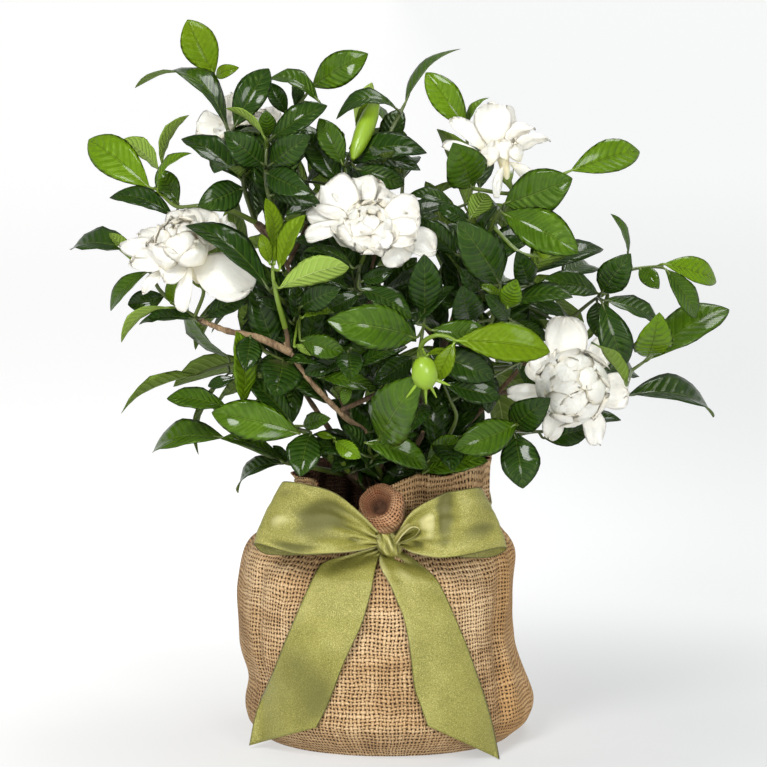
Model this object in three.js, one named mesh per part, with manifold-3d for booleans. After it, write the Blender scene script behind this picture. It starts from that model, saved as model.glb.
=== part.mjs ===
// A gardenia in a nursery pot, wrapped in a burlap sack that a satin ribbon ties under its rim.
// Millimetres, +Z up. The plant is seen from -Y, with +X on the right.
// The origin is the middle of the sack's flat base, where it stands.
import * as THREE from "three";
import { mergeVertices } from "three/addons/utils/BufferGeometryUtils.js";
import Module from "manifold-3d";

const wasm = await Module();
wasm.setup();

// Driving sizes of the pot, the soil, the sack and the ribbon.
const GAP = 0.3; // between pieces that touch
const SEAT = 2.2; // height at which the pot stands on the cloth
const POT = { height: 123, base: 54, rim: 72, wall: 1.6, bead: 2.4, lip: 8, sides: 20 };
const SOIL_TOP = 114;
const CLOTH = 1.7; // burlap with its fuzz
const SACK = { sides: 24, base: 80, rim: 180, rise: 5, wave: 2 };
const RIBBON = { thick: 1.1, bandLow: 146, bandHigh: 160, bandClear: 0.9 };

// How the plant is seen: its places are given as they appear from this eye, in the plane through the trunk.
const EYE = { distance: 2000, height: 230, tilt: THREE.MathUtils.degToRad(8) };
// The rounded crown that the leaves fill. A layer is a depth behind its front surface.
const CROWN = { x: 8, z: 300, wide: 225, deep: 136, up: 185, down: 160 };

const BLADE = 1.2; // thickness of a leaf at its midrib
const PETAL = 1.3;
const LEAF_RATIO = 0.44; // width over length of a full-grown leaf
const PETIOLE = 0.95; // radius of a leaf stalk

const UP = new THREE.Vector3(0, 0, 1);
const VIEWER = new THREE.Vector3(0, -1, 0);
const vec = (x, y, z) => new THREE.Vector3(x, y, z);

// Repeatable random numbers from 0 to 1.
function randomFrom(seed) {
  let state = seed >>> 0;
  return () => {
    state = (state + 0x6d2b79f5) >>> 0;
    let t = state;
    t = Math.imul(t ^ (t >>> 15), t | 1);
    t ^= t + Math.imul(t ^ (t >>> 7), t | 61);
    return ((t ^ (t >>> 14)) >>> 0) / 4294967296;
  };
}

function eyePoint() {
  return vec(0, -EYE.distance * Math.cos(EYE.tilt), EYE.height + EYE.distance * Math.sin(EYE.tilt));
}

// The point that appears at x, z when it lies at depth y.
function seen(x, z, y) {
  const cos = Math.cos(EYE.tilt);
  const sin = Math.sin(EYE.tilt);
  const eye = eyePoint();
  const rise = z - EYE.height;
  const ray = vec(x, EYE.distance * cos + rise * sin, rise * cos - EYE.distance * sin);
  const reach = (y - eye.y) / ray.y;
  return eye.addScaledVector(ray, reach);
}

// Depth of the crown's front surface at x, z.
function crownFront(x, z) {
  const tall = z > CROWN.z ? CROWN.up : CROWN.down;
  const off = ((x - CROWN.x) / CROWN.wide) ** 2 + ((z - CROWN.z) / tall) ** 2;
  return -CROWN.deep * Math.sqrt(Math.max(0, 1 - off));
}

const behindFront = (x, z, layer) => seen(x, z, crownFront(x, z) + layer);

// The blade of a leaf or a petal: its outline across, from 0 at the root to 1 where it is widest.
const OUTLINE = {
  leaf: (u) => (u ** 1.05 * (1 - u) ** 0.85) / 0.2708,
  petal: (u) => (u ** 0.75 * (1 - u) ** 0.32) / 0.5206,
};
// Where a blade has its sections: on a large one, and on a small one or one at the back.
const ROWS = { leaf: [[0.3, 0.72], [0.5]], petal: [[0.42, 0.86], [0.66]] };
const SHORT = 38; // length under which a leaf counts as small
const NARROW = 21; // width under which a petal does

// A blade from its root to its tip, with the face that it turns up, its arch and its fold along the midrib.
function blade(kind, root, tip, face, width, shape) {
  const along = tip.clone().sub(root);
  const length = along.length();
  along.normalize();
  const normal = face.clone().addScaledVector(along, -face.dot(along)).normalize();
  const side = along.clone().cross(normal);
  return { kind, root, tip, normal, side, length, width, moved: [0, 0], ...shape };
}

// A point of a blade, u along it and v across it from -1 to 1.
function bladePoint(b, u, v) {
  const half = (b.width / 2) * OUTLINE[b.kind](u);
  const lift = b.arch * b.length * 4 * u * (1 - u) + b.fold * half * Math.abs(v);
  const point = b.root.clone().lerp(b.tip, u);
  return point.addScaledVector(b.normal, lift).addScaledVector(b.side, half * v);
}

// A closed skin over rings with the same number of points, with flat ends, or with a point at an end. A
// start of two points is an edge across rings of four.
function loft(rings, start, end, joined = false) {
  const count = rings[0].length;
  const points = rings.flat();
  const faces = [];
  const spans = joined ? rings.length : rings.length - 1;
  for (let r = 0; r < spans; r++) {
    const next = (r + 1) % rings.length;
    for (let i = 0; i < count; i++) {
      const j = (i + 1) % count;
      const [a, b, c, d] = [r * count + i, r * count + j, next * count + j, next * count + i];
      faces.push(a, b, c, a, c, d);
    }
  }
  const cap = (point, ring, turned) => {
    const first = ring * count;
    if (point) points.push(point);
    for (let i = point ? 0 : 1; i < (point ? count : count - 1); i++) {
      const ends = [first + i, first + ((i + 1) % count)];
      if (turned) ends.reverse();
      faces.push(...ends, point ? points.length - 1 : first);
    }
  };
  if (Array.isArray(start)) {
    const [a, b] = [points.length, points.length + 1];
    points.push(...start);
    faces.push(a, 1, 0, a, b, 1, b, 2, 1, b, 3, 2, b, a, 3, a, 0, 3);
  } else if (!joined) {
    cap(start, 0, true);
  }
  if (!joined) cap(end, rings.length - 1, false);
  const geometry = new THREE.BufferGeometry();
  const places = new Float32Array(points.flatMap((p) => [p.x, p.y, p.z]));
  geometry.setAttribute("position", new THREE.BufferAttribute(places, 3));
  geometry.setIndex(faces);
  return geometry;
}

function solid(geometry) {
  const bare = geometry.clone();
  bare.deleteAttribute("normal");
  bare.deleteAttribute("uv");
  const merged = mergeVertices(bare, 1e-4);
  const triVerts = new Uint32Array(merged.index.array);
  const vertProperties = merged.attributes.position.array;
  const made = new wasm.Manifold(new wasm.Mesh({ numProp: 3, vertProperties, triVerts }));
  if (made.volume() > 0) return made;
  triVerts.reverse();
  return new wasm.Manifold(new wasm.Mesh({ numProp: 3, vertProperties, triVerts }));
}

function geometryOf(made) {
  const mesh = made.getMesh();
  const geometry = new THREE.BufferGeometry();
  geometry.setAttribute("position", new THREE.BufferAttribute(mesh.vertProperties, 3));
  geometry.setIndex(new THREE.BufferAttribute(mesh.triVerts, 1));
  return geometry.toNonIndexed();
}

// Pieces that grew together, as one skin. A crumb that touches nothing is dropped.
function fused(geometries) {
  const whole = geometries.map(solid).reduce((sum, next) => sum.add(next));
  const bodies = whole.decompose().sort((a, b) => b.volume() - a.volume());
  return geometryOf(bodies[0]);
}

// A tapering stem through points, with one radius for each.
function stem(points, radii, sides) {
  const start = points[1].clone().sub(points[0]).normalize();
  let side = Math.abs(start.y) < 0.7 ? vec(0, 1, 0) : vec(0, 0, 1);
  const rings = points.map((p, i) => {
    const before = points[Math.max(0, i - 1)];
    const after = points[Math.min(points.length - 1, i + 1)];
    const along = after.clone().sub(before).normalize();
    side = side.addScaledVector(along, -side.dot(along)).normalize();
    const across = along.clone().cross(side);
    return Array.from({ length: sides }, (_, k) => {
      const angle = (2 * Math.PI * k) / sides;
      const ring = p.clone().addScaledVector(side, radii[i] * Math.cos(angle));
      return ring.addScaledVector(across, radii[i] * Math.sin(angle));
    });
  });
  return loft(rings);
}

// The blade's own skin: lens sections from the stalk to the tip, with sharp edges.
function bladeGeometry(b) {
  const thick = b.kind === "leaf" ? BLADE : PETAL;
  const section = (centre, half, rise, edge) => [
    centre.clone().addScaledVector(b.side, -half).addScaledVector(b.normal, edge),
    centre.clone().addScaledVector(b.normal, rise),
    centre.clone().addScaledVector(b.side, half).addScaledVector(b.normal, edge),
    centre.clone().addScaledVector(b.normal, -rise),
  ];
  const along = b.tip.clone().sub(b.root).normalize();
  const bend = b.stalk ? b.root.clone().sub(b.stalk).normalize().add(along).normalize() : along;
  const across = b.side.clone().addScaledVector(bend, -b.side.dot(bend)).normalize();
  const above = across.clone().cross(bend);
  const foot = (a, n) => b.root.clone().addScaledVector(across, a).addScaledVector(above, n);
  const rings = [[foot(-PETIOLE, 0), foot(0, PETIOLE), foot(PETIOLE, 0), foot(0, -PETIOLE)]];
  const few = b.kind === "leaf" ? b.atBack || b.length < SHORT : b.width < NARROW;
  for (const u of ROWS[b.kind][few ? 1 : 0]) {
    const half = (b.width / 2) * OUTLINE[b.kind](u);
    rings.push(section(bladePoint(b, u, 0), half, thick / 2, b.fold * half));
  }
  if (b.kind === "petal") return loft(rings, b.stalk, b.tip);
  const edge = [-SHOOT.root, SHOOT.root].map((half) => b.stalk.clone().addScaledVector(across, half));
  return loft(rings, edge, b.tip);
}

// Where a leaf stalk is rooted: on the stem's line, well inside its ends.
function rootedOn(points, place) {
  const found = nearestOn(points, place);
  const [first, second] = points;
  const [previous, last] = points.slice(-2);
  if (found.distanceTo(last) < 2) return last.clone().lerp(previous, 2 / last.distanceTo(previous));
  if (found.distanceTo(first) < 2) return first.clone().lerp(second, 2 / first.distanceTo(second));
  return found;
}

// The nearest point to a place on a stem's line.
function nearestOn(points, place) {
  let best = null;
  for (let i = 0; i + 1 < points.length; i++) {
    const found = new THREE.Line3(points[i], points[i + 1]).closestPointToPoint(place, true, vec());
    if (!best || found.distanceTo(place) < best.distanceTo(place)) best = found;
  }
  return best;
}

// Leafy shoots as they are seen. A stem's row: x, z, layer. A leaf's row: the x and z of its root, the x
// and z of its tip, its seen width, the layer of its root, which face shows (1 upper, -1 under), its
// arch as a share of its length, and its age (0 old and dark, 3 young and lime).
const SHOOTS = {
  shoot_top_left: {
    stem: [[-88, 345, 80], [-95, 366, 55], [-98, 385, 40], [-106, 405, 30], [-109, 418, 28], [-113, 434, 26]],
    leaves: [
      [-107, 407, -166, 440, 11, 30, 1, 0.24, 0],
      [-96, 371, -136, 403, 17, 30, 1, 0.06, 0],
      [-96, 367, -125, 355, 20, 22, 1, 0.1, 0],
      [-102, 407, -79, 447, 21, 12, 1, 0.08, 0],
    ],
  },
  young_leaves_top_left: {
    after: "shoot_top_left",
    stem: [[-114, 438, 26], [-116, 444, 26]],
    leaves: [
      [-115, 442, -133, 479, 24, 26, 1, 0.06, 3],
      [-114, 441, -99, 447, 9, 24, 1, 0.2, 3],
    ],
  },
  shoot_upper_left: {
    stem: [
      [-88, 344, 62], [-105, 352, 44], [-121, 355, 30], [-139, 354, 26], [-148, 360, 26], [-155, 367, 26],
    ],
    leaves: [
      [-158, 367, -200, 400, 26, 22, 1, 0.06, 2],
      [-152, 378, -176, 399, 14, 40, -1, 0.08, 2],
      [-150, 381, -133, 416, 8, 44, -1, 0.14, 2],
      [-153, 364, -132, 391, 6, 18, 1, 0.16, 2],
      [-139, 356, -153, 379, 15, 34, 1, 0.06, 1],
      [-142, 347, -185, 361, 13, 20, 1, 0.16, 0],
    ],
  },
  shoot_crown_left: {
    stem: [[-55, 345, 95], [-60, 375, 80], [-61, 399, 72], [-64, 414, 66], [-56, 426, 62]],
    leaves: [
      [-45, 423, -80, 439, 12, 48, 1, 0.24, 1],
      [-67, 416, -79, 437, 12, 66, 1, 0.05, 0],
      [-61, 419, -60, 440, 9, 70, 1, 0.05, 0],
      [-50, 434, -14, 456, 22, 56, 1, 0.08, 1],
      [-31, 369, -55, 405, 20, 62, 1, 0.05, 0],
    ],
  },
  shoot_over_left_bloom: {
    stem: [[-70, 338, 62], [-79, 362, 40], [-81, 380, 30], [-80, 396, 26]],
    leaves: [
      [-81, 399, -107, 421, 7, 14, -1, 0.1, 2],
      [-80, 400, -81, 418, 12, 30, 1, 0.05, 1],
      [-78, 399, -41, 423, 17, 18, 1, 0.08, 0],
      [-82, 382, -107, 403, 21, 12, 1, 0.08, 0],
      [-78, 382, -53, 401, 20, 8, 1, 0.06, 0],
      [-81, 377, -53, 364, 19, 10, 1, 0.08, 0],
      [-79, 362, -44, 357, 13, 12, 1, 0.08, 0],
    ],
  },
  shoot_crown_middle: {
    stem: [[-22, 335, 100], [-28, 362, 78], [-28, 380, 62], [-24, 392, 56]],
    leaves: [
      [-27, 381, 26, 393, 18, 44, 1, 0.2, 0],
      [-21, 380, 12, 369, 15, 30, 1, 0.08, 0],
      [-20, 384, 22, 381, 12, 60, 1, 0.08, 0],
      [-29, 382, -45, 413, 17, 40, 1, 0.05, 1],
      [-26, 366, -18, 352, 8, 44, 1, 0.08, 2],
    ],
  },
  young_shoot_crown: {
    after: "shoot_crown_middle",
    stem: [[-23, 394, 54], [-20, 402, 52]],
    leaves: [
      [-20, 400, -6, 428, 11, 50, 1, 0.06, 3],
      [-18, 402, -11, 437, 14, 62, -1, 0.05, 3],
    ],
  },
  shoot_crown_slender: {
    stem: [[-4, 340, 90], [-3, 372, 70], [1, 400, 52], [9, 417, 46], [12, 423, 44]],
    leaves: [
      [12, 423, 48, 461, 6, 44, 1, 0.1, 1],
      [8, 418, -34, 414, 11, 36, 1, 0.3, 0],
    ],
  },
  shoot_top_right: {
    stem: [[58, 335, 74], [57, 352, 60], [55, 369, 50], [54, 388, 44], [53, 404, 42]],
    leaves: [
      [53, 406, 26, 444, 20, 40, 1, 0.06, 2],
      [53, 406, 67, 428, 5, 46, 1, 0.12, 2],
      [56, 367, 45, 395, 28, 34, 1, 0.05, 1],
      [55, 345, 34, 355, 11, 48, 1, 0.08, 0],
      [55, 346, 67, 364, 16, 44, -1, 0.05, 1],
      [44, 353, 15, 363, 9, 54, 1, 0.14, 0],
    ],
  },
  shoot_upper_right: {
    stem: [[60, 322, 78], [68, 338, 58], [76, 352, 44], [92, 365, 40], [106, 372, 38], [120, 377, 36]],
    leaves: [
      [78, 356, 123, 373, 29, 26, 1, 0.06, 1],
      [122, 378, 170, 393, 22, 34, 1, 0.06, 2],
      [77, 350, 127, 324, 27, 20, 1, 0.06, 1],
    ],
    bud: { stalk: [[70, 342, 56], [88, 324, 42], [104, 321, 34]], tip: [112, 347, 30], wide: 16, lobes: [] },
  },
  shoot_middle_right: {
    stem: [[60, 262, 66], [70, 279, 52], [75, 299, 44], [74, 312, 42]],
    leaves: [
      [47, 322, 22, 346, 15, 40, 1, 0.06, 0],
      [75, 303, 49, 343, 28, 24, 1, 0.06, 0],
      [78, 291, 61, 302, 6, 30, 1, 0.12, 2],
      [80, 287, 86, 305, 15, 16, 1, 0.05, 2],
      [56, 277, 50, 300, 22, 44, 1, 0.05, 0],
      [62, 298, 50, 312, 13, 34, 1, 0.05, 0],
      [82, 279, 67, 295, 13, 30, 1, 0.05, 0],
      [95, 302, 88, 322, 16, 58, 1, 0.05, 0],
    ],
  },
  shoot_right: {
    stem: [[98, 262, 84], [112, 272, 66], [124, 281, 56], [135, 290, 50], [142, 295, 46]],
    leaves: [
      [141, 296, 102, 304, 16, 36, 1, 0.16, 0],
      [143, 297, 161, 321, 21, 30, 1, 0.06, 0],
      [144, 292, 183, 278, 12, 24, 1, 0.08, 0],
      [143, 291, 158, 245, 22, 16, 1, 0.1, 0],
      [140, 291, 141, 268, 17, 40, 1, 0.06, 0],
      [88, 291, 119, 281, 10, 50, 1, 0.08, 0],
      [84, 278, 107, 265, 9, 48, 1, 0.08, 0],
    ],
  },
  shoot_right_outer: {
    after: "shoot_right",
    stem: [[143, 296, 46], [150, 303, 52], [162, 312, 50], [184, 315, 44]],
    leaves: [
      [161, 321, 151, 350, 6, 54, 1, 0.05, 1],
      [168, 313, 181, 300, 12, 30, 1, 0.08, 1],
      [184, 316, 221, 305, 17, 34, 1, 0.08, 2],
      [185, 313, 207, 280, 16, 26, 1, 0.08, 1],
    ],
  },
  shoot_right_low: {
    stem: [[100, 232, 88], [125, 232, 70], [148, 235, 56], [163, 245, 48], [173, 252, 44]],
    leaves: [
      [174, 252, 228, 288, 24, 38, 1, 0.06, 1],
      [174, 254, 182, 279, 25, 34, 1, 0.05, 2],
      [160, 235, 138, 266, 10, 0, -1, 0.04, 1],
      [161, 229, 220, 218, 15, 30, 1, 0.1, 0],
    ],
  },
  shoot_under_right_bloom: {
    stem: [[66, 190, 74], [82, 200, 52], [96, 204, 44], [112, 204, 42]],
    leaves: [
      [104, 200, 137, 208, 17, 30, 1, 0.06, 0],
      [118, 206, 156, 214, 9, 44, 1, 0.06, 0],
      [85, 204, 91, 167, 26, 14, 1, 0.06, 0],
      [83, 207, 106, 224, 22, 22, 1, 0.06, 0],
      [87, 209, 46, 193, 23, 8, 1, 0.06, 1],
    ],
  },
  shoot_left: {
    after: "woody_stems",
    stem: [[-126, 279, 44], [-138, 287, 42], [-151, 298, 40], [-159, 312, 38], [-168, 322, 36]],
    leaves: [
      [-168, 325, -212, 329, 15, 34, 1, 0.08, 0],
      [-170, 318, -185, 337, 10, 44, -1, 0.06, 2],
      [-159, 311, -185, 285, 11, 26, 1, 0.1, 1],
      [-148, 295, -173, 289, 15, 40, 1, 0.06, 0],
      [-144, 290, -143, 308, 10, 24, 1, 0.05, 2],
      [-145, 287, -178, 265, 9, 22, -1, 0.18, 2],
      [-127, 279, -166, 277, 8, 34, 1, 0.08, 0],
      [-122, 280, -89, 295, 14, 34, 1, 0.08, 0],
    ],
  },
  shoot_front_of_left_bloom: {
    stem: [[-62, 286, 60], [-70, 292, 34], [-78, 298, 16]],
    leaves: [
      [-79, 299, -131, 346, 17, -2, 1, 0.1, 0],
      [-75, 303, -97, 318, 5, 14, 1, 0.1, 1],
    ],
  },
  young_shoot_left: {
    stem: [[-68, 274, 22], [-73, 292, 8], [-76, 308, 4], [-76, 320, 4]],
    leaves: [
      [-75, 324, -79, 360, 12, 2, 1, 0.04, 3],
      [-78, 316, -84, 336, 9, 0, 1, 0.06, 3],
      [-75, 316, -71, 332, 5, 0, 1, 0.06, 3],
      [-72, 312, -57, 349, 13, -4, 1, 0.04, 3],
      [-72, 300, -25, 316, 20, -8, -1, 0.08, 2],
    ],
  },
  shoot_inner_left: {
    stem: [[-60, 258, 62], [-61, 270, 48], [-58, 284, 40]],
    leaves: [
      [-24, 298, -45, 307, 7, 40, 1, 0.06, 0],
      [-58, 287, -33, 299, 17, 20, 1, 0.06, 0],
      [-62, 278, -60, 304, 11, 36, 1, 0.05, 0],
      [-57, 280, -36, 285, 6, 24, 1, 0.1, 2],
      [-58, 266, -28, 257, 16, 20, 1, 0.08, 1],
      [-62, 262, -47, 256, 7, 16, -1, 0.08, 2],
    ],
  },
  shoot_left_of_fork: {
    stem: [[-66, 244, 56], [-76, 254, 38], [-90, 262, 24], [-98, 252, 22], [-102, 240, 22]],
    leaves: [
      [-91, 268, -94, 246, 17, 14, 1, 0.06, 0],
      [-70, 253, -86, 245, 13, 30, 1, 0.06, 0],
      [-70, 252, -75, 228, 28, 16, 1, 0.06, 0],
      [-101, 240, -120, 235, 8, 20, 1, 0.06, 0],
    ],
  },
  shoot_low_left: {
    stem: [[-24, 186, 58], [-38, 194, 40], [-51, 201, 26], [-63, 208, 20], [-83, 214, 18], [-101, 219, 18]],
    leaves: [
      [-58, 203, -117, 217, 26, 4, 1, 0.08, 1],
      [-51, 204, -58, 175, 23, 10, 1, 0.06, 0],
      [-63, 209, -93, 240, 16, 18, 1, 0.06, 0],
      [-56, 208, -38, 213, 11, 12, 1, 0.12, 1],
      [-106, 220, -147, 227, 14, 16, 1, 0.08, 1],
      [-96, 222, -97, 270, 17, 10, 1, 0.04, 2],
    ],
  },
  shoot_lowest_left: {
    stem: [[-30, 176, 54], [-48, 180, 36], [-69, 184, 24], [-88, 192, 22], [-106, 199, 22]],
    leaves: [
      [-69, 184, -110, 201, 8, 12, 1, 0.06, 1],
      [-69, 183, -101, 165, 8, 14, 1, 0.16, 0],
      [-66, 184, -76, 195, 6, 24, 1, 0.05, 0],
      [-108, 200, -159, 194, 16, 18, 1, 0.1, 1],
    ],
  },
  shoot_middle: {
    stem: [[28, 214, 62], [24, 230, 46], [21, 250, 34], [23, 266, 30], [25, 280, 30]],
    leaves: [
      [20, 267, -37, 278, 29, 6, 1, 0.1, 1],
      [25, 283, 25, 321, 22, 30, 1, 0.05, 0],
      [20, 276, 43, 302, 11, 30, 1, 0.06, 0],
      [29, 272, 71, 269, 17, 20, 1, 0.06, 1],
      [26, 258, 72, 240, 22, 26, 1, 0.06, 0],
      [17, 254, -8, 237, 17, 26, 1, 0.06, 0],
    ],
  },
  shoot_middle_low: {
    stem: [[-30, 228, 52], [-28, 240, 40], [-26, 252, 34], [-24, 260, 32]],
    leaves: [
      [-26, 258, -24, 239, 18, 16, 1, 0.06, 0],
      [-46, 241, -7, 233, 11, 20, 1, 0.06, 1],
      [-25, 238, -29, 222, 8, 20, 1, 0.06, 1],
      [-29, 252, -56, 243, 12, 26, 1, 0.06, 0],
    ],
  },
  young_shoot_middle: {
    stem: [[21, 246, 8], [23, 262, 0], [31, 268, -8], [39, 268, -10], [46, 265, -12]],
    leaves: [
      [46, 265, 109, 258, 25, -12, 1, 0.05, 3],
      [45, 264, 31, 237, 13, -10, 1, 0.08, 3],
      [26, 255, 41, 258, 4, -6, 1, 0.1, 3],
    ],
    bud: {
      stalk: [[22, 256, 2], [23, 254, -8], [25, 250, -14]],
      tip: [26, 232, -14],
      wide: 15,
      lobes: [[13, 227], [26, 223], [33, 227], [42, 235]],
    },
  },
  shoot_under_middle_bloom: {
    stem: [[-19, 286, 66], [-21, 298, 52], [-19, 310, 46], [-17, 318, 44]],
    leaves: [
      [-19, 300, 17, 280, 16, 26, 1, 0.08, 0],
      [-18, 304, 4, 313, 11, 34, 1, 0.06, 0],
      [-22, 313, -55, 327, 7, 24, 1, 0.1, 0],
      [-17, 297, -44, 284, 14, 34, 1, 0.06, 0],
    ],
  },
  shoot_low_middle: {
    stem: [[-2, 172, 52], [-8, 184, 32], [-12, 193, 22], [-8, 197, 16]],
    leaves: [
      [-5, 199, 18, 238, 32, 0, 1, 0.08, 1],
      [-15, 197, 28, 181, 18, 6, 1, 0.08, 1],
      [-13, 180, -28, 209, 10, 20, 1, 0.06, 0],
    ],
  },
  shoot_low_right: {
    stem: [[26, 178, 58], [34, 190, 40], [46, 212, 32], [42, 226, 30]],
    leaves: [
      [38, 236, 76, 227, 16, 22, 1, 0.08, 0],
      [24, 177, 66, 187, 15, 16, 1, 0.08, 1],
      [27, 184, 47, 201, 13, 20, 1, 0.06, 1],
      [86, 249, 106, 227, 13, 40, 1, 0.06, 0],
    ],
  },
  young_shoot_low: {
    stem: [[-26, 178, 34], [-33, 190, 22], [-36, 198, 18]],
    leaves: [
      [-35, 198, -18, 187, 12, 10, 1, 0.06, 2],
      [-35, 200, -47, 203, 5, 12, 1, 0.1, 2],
    ],
  },
};

// The woody boughs as they are seen. A row: x, z, depth y. Each grows from an earlier one or from the trunk.
const BOUGHS = [
  [
    [0, 112, 0], [0, 140, 0], [-3, 165, -8], [-11, 199, -50],
    [-28, 214, -80], [-45, 231, -94], [-58, 247, -99], [-68, 264, -98],
  ],
  [[-64, 257, -99], [-86, 267, -96], [-105, 271, -90], [-116, 275, -86], [-123, 278, -83]],
  [[0, 138, 0], [-22, 205, -8], [-45, 262, -28], [-62, 305, -44], [-76, 333, -56]],
  [[0, 138, 0], [2, 210, 8], [-4, 270, -22], [-12, 318, -58]],
  [[0, 138, 0], [22, 215, 0], [44, 280, -46], [54, 312, -70]],
  [[0, 138, 0], [30, 185, -8], [66, 222, -30], [92, 250, -46]],
  [[0, 138, 0], [22, 163, -22], [42, 178, -30], [62, 187, -28]],
  [[0, 138, 0], [-10, 158, -20], [-22, 174, -36]],
  [[0, 150, -2], [12, 178, -32], [24, 204, -62]],
];
// The boughs that grow to the back: direction seen from above in degrees (90 is straight back), reach, top.
const BACK_BOUGHS = [[12, 62, 232], [55, 60, 262], [92, 58, 236], [128, 62, 266], [168, 62, 236]];
// Leafy shoots round the sides and back: direction, rise above the crown's middle in degrees.
const BACK_SHOOTS = [
  [10, -20], [52, -22], [90, -20], [134, -22], [174, -18],
  [30, 14], [76, 14], [112, 16], [152, 14],
  [48, 46], [124, 46], [84, 72],
];
const BACK_CROWN = { x: 5, z: 272, wide: 168, deep: 145, up: 150, down: 112 };
// Shoots inside the crown, behind what shows in front.
const INNER_SHOOTS = [[-16, 26], [-170, 26]];
const INNER_REACH = 0.74;

const BARK = { trunk: 6.5, collar: 5, bough: 3.6, end: 2, twig: 1.7, twigEnd: 5, twigDrop: 10 };
// The radii of a green stem, its first straight stretch, and half a leaf stalk's width in its middle.
const SHOOT = { foot: 1.9, tip: 1.3, straight: 4, root: 0.6 };

// The blooms as they are seen. A petal's row: the x and z of its root, the x and z of its tip, its width,
// how far its root and its tip stand towards the viewer, and 1 for the inner face or -1 for the outer.
const BLOOMS = {
  bloom_left: {
    carrier: "shoot_left",
    centre: [-131, 316, 14],
    axis: [-0.3, -0.5, 0.8],
    heart: 17,
    petals: [
      [-130, 317, -90, 299, 30, 4, 10, 1],
      [-131, 315, -137, 284, 10, 10, 14, 1],
      [-148, 312, -163, 297, 8, 4, 4, 1],
      [-138, 317, -171, 317, 15, 4, 2, 1],
      [-142, 321, -178, 328, 13, 0, -4, 1],
      [-138, 323, -165, 336, 15, -4, -10, 1],
      [-135, 324, -150, 342, 17, -6, -12, 1],
      [-133, 324, -135, 352, 23, -6, -16, 1],
      [-129, 324, -118, 352, 20, -8, -22, 1],
      [-127, 322, -106, 345, 20, -8, -24, 1],
      [-131, 316, -128, 335, 27, 4, 16, -1],
      [-133, 315, -149, 305, 14, 8, 12, 1],
    ],
  },
  bloom_middle: {
    carrier: "shoot_under_middle_bloom",
    centre: [-14, 341, 22],
    axis: [0.05, -0.62, 0.78],
    heart: 18,
    petals: [
      [-20, 346, -44, 366, 29, 0, -8, 1],
      [-17, 348, -24, 372, 27, -6, -16, 1],
      [-11, 348, -6, 372, 16, -6, -18, 1],
      [-7, 347, 10, 358, 20, -4, -10, 1],
      [-5, 345, 22, 349, 26, 0, 0, 1],
      [-5, 340, 19, 332, 20, 4, 10, 1],
      [4, 334, 33, 325, 18, 2, 0, 1],
      [-1, 333, 12, 317, 22, 4, 6, 1],
      [-14, 339, -22, 327, 27, 6, 18, 1],
      [-10, 339, -2, 324, 18, 6, 18, 1],
      [-23, 342, -54, 333, 11, 4, 8, 1],
      [-22, 345, -53, 347, 14, 0, 2, 1],
    ],
  },
  bloom_right: {
    carrier: "shoot_under_right_bloom",
    centre: [124, 234, 12],
    axis: [0.08, -0.98, 0.12],
    heart: 24,
    petals: [
      [121, 240, 119, 281, 25, -6, -8, 1],
      [131, 242, 150, 270, 16, -6, -4, 1],
      [135, 234, 161, 231, 22, -6, -8, 1],
      [132, 226, 141, 196, 14, -6, -8, 1],
      [116, 226, 107, 200, 13, -6, -8, 1],
      [116, 236, 95, 252, 18, -6, -10, 1],
      [112, 230, 81, 229, 13, -8, -14, 1],
    ],
  },
  bloom_top_right: {
    carrier: "shoot_top_right",
    centre: [77, 388, 22],
    axis: [-0.2, -0.1, 0.97],
    heart: 15,
    petals: [
      [75, 389, 67, 423, 22, 2, 8, -1],
      [77, 390, 79, 421, 20, -2, -6, -1],
      [79, 389, 96, 407, 19, 0, -4, -1],
      [80, 388, 107, 400, 15, 2, -2, -1],
      [74, 387, 58, 376, 15, 6, 12, -1],
      [81, 384, 102, 365, 11, 6, 12, -1],
      [78, 382, 73, 360, 7, 6, 10, -1],
      [66, 390, 43, 413, 11, -4, -8, 1],
      [62, 390, 37, 395, 8, -4, -8, 1],
    ],
  },
  bloom_top_left: {
    carrier: "shoot_top_left",
    centre: [-96, 405, 62],
    axis: [-0.35, 0.35, 0.87],
    heart: 16,
    petals: [
      [-100, 403, -127, 407, 20, 0, 0, 1],
      [-99, 401, -124, 394, 16, 2, 4, 1],
      [-94, 408, -84, 432, 20, -2, -8, 1],
      [-98, 409, -104, 430, 18, -4, -10, 1],
      [-92, 404, -70, 414, 18, -6, -12, 1],
      [-95, 401, -88, 384, 14, 5, 16, 1],
    ],
  },
};
// The inner ring of petals of a bloom: how many, how far they open, and their width over their length.
const WHORL = { count: 5, open: 46, wide: 0.9 };
const TUBE = { length: 15, foot: 2.2, throat: 4.4 };
const HEART = 0.5; // radius of the closed middle, as a share of the heart

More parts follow.
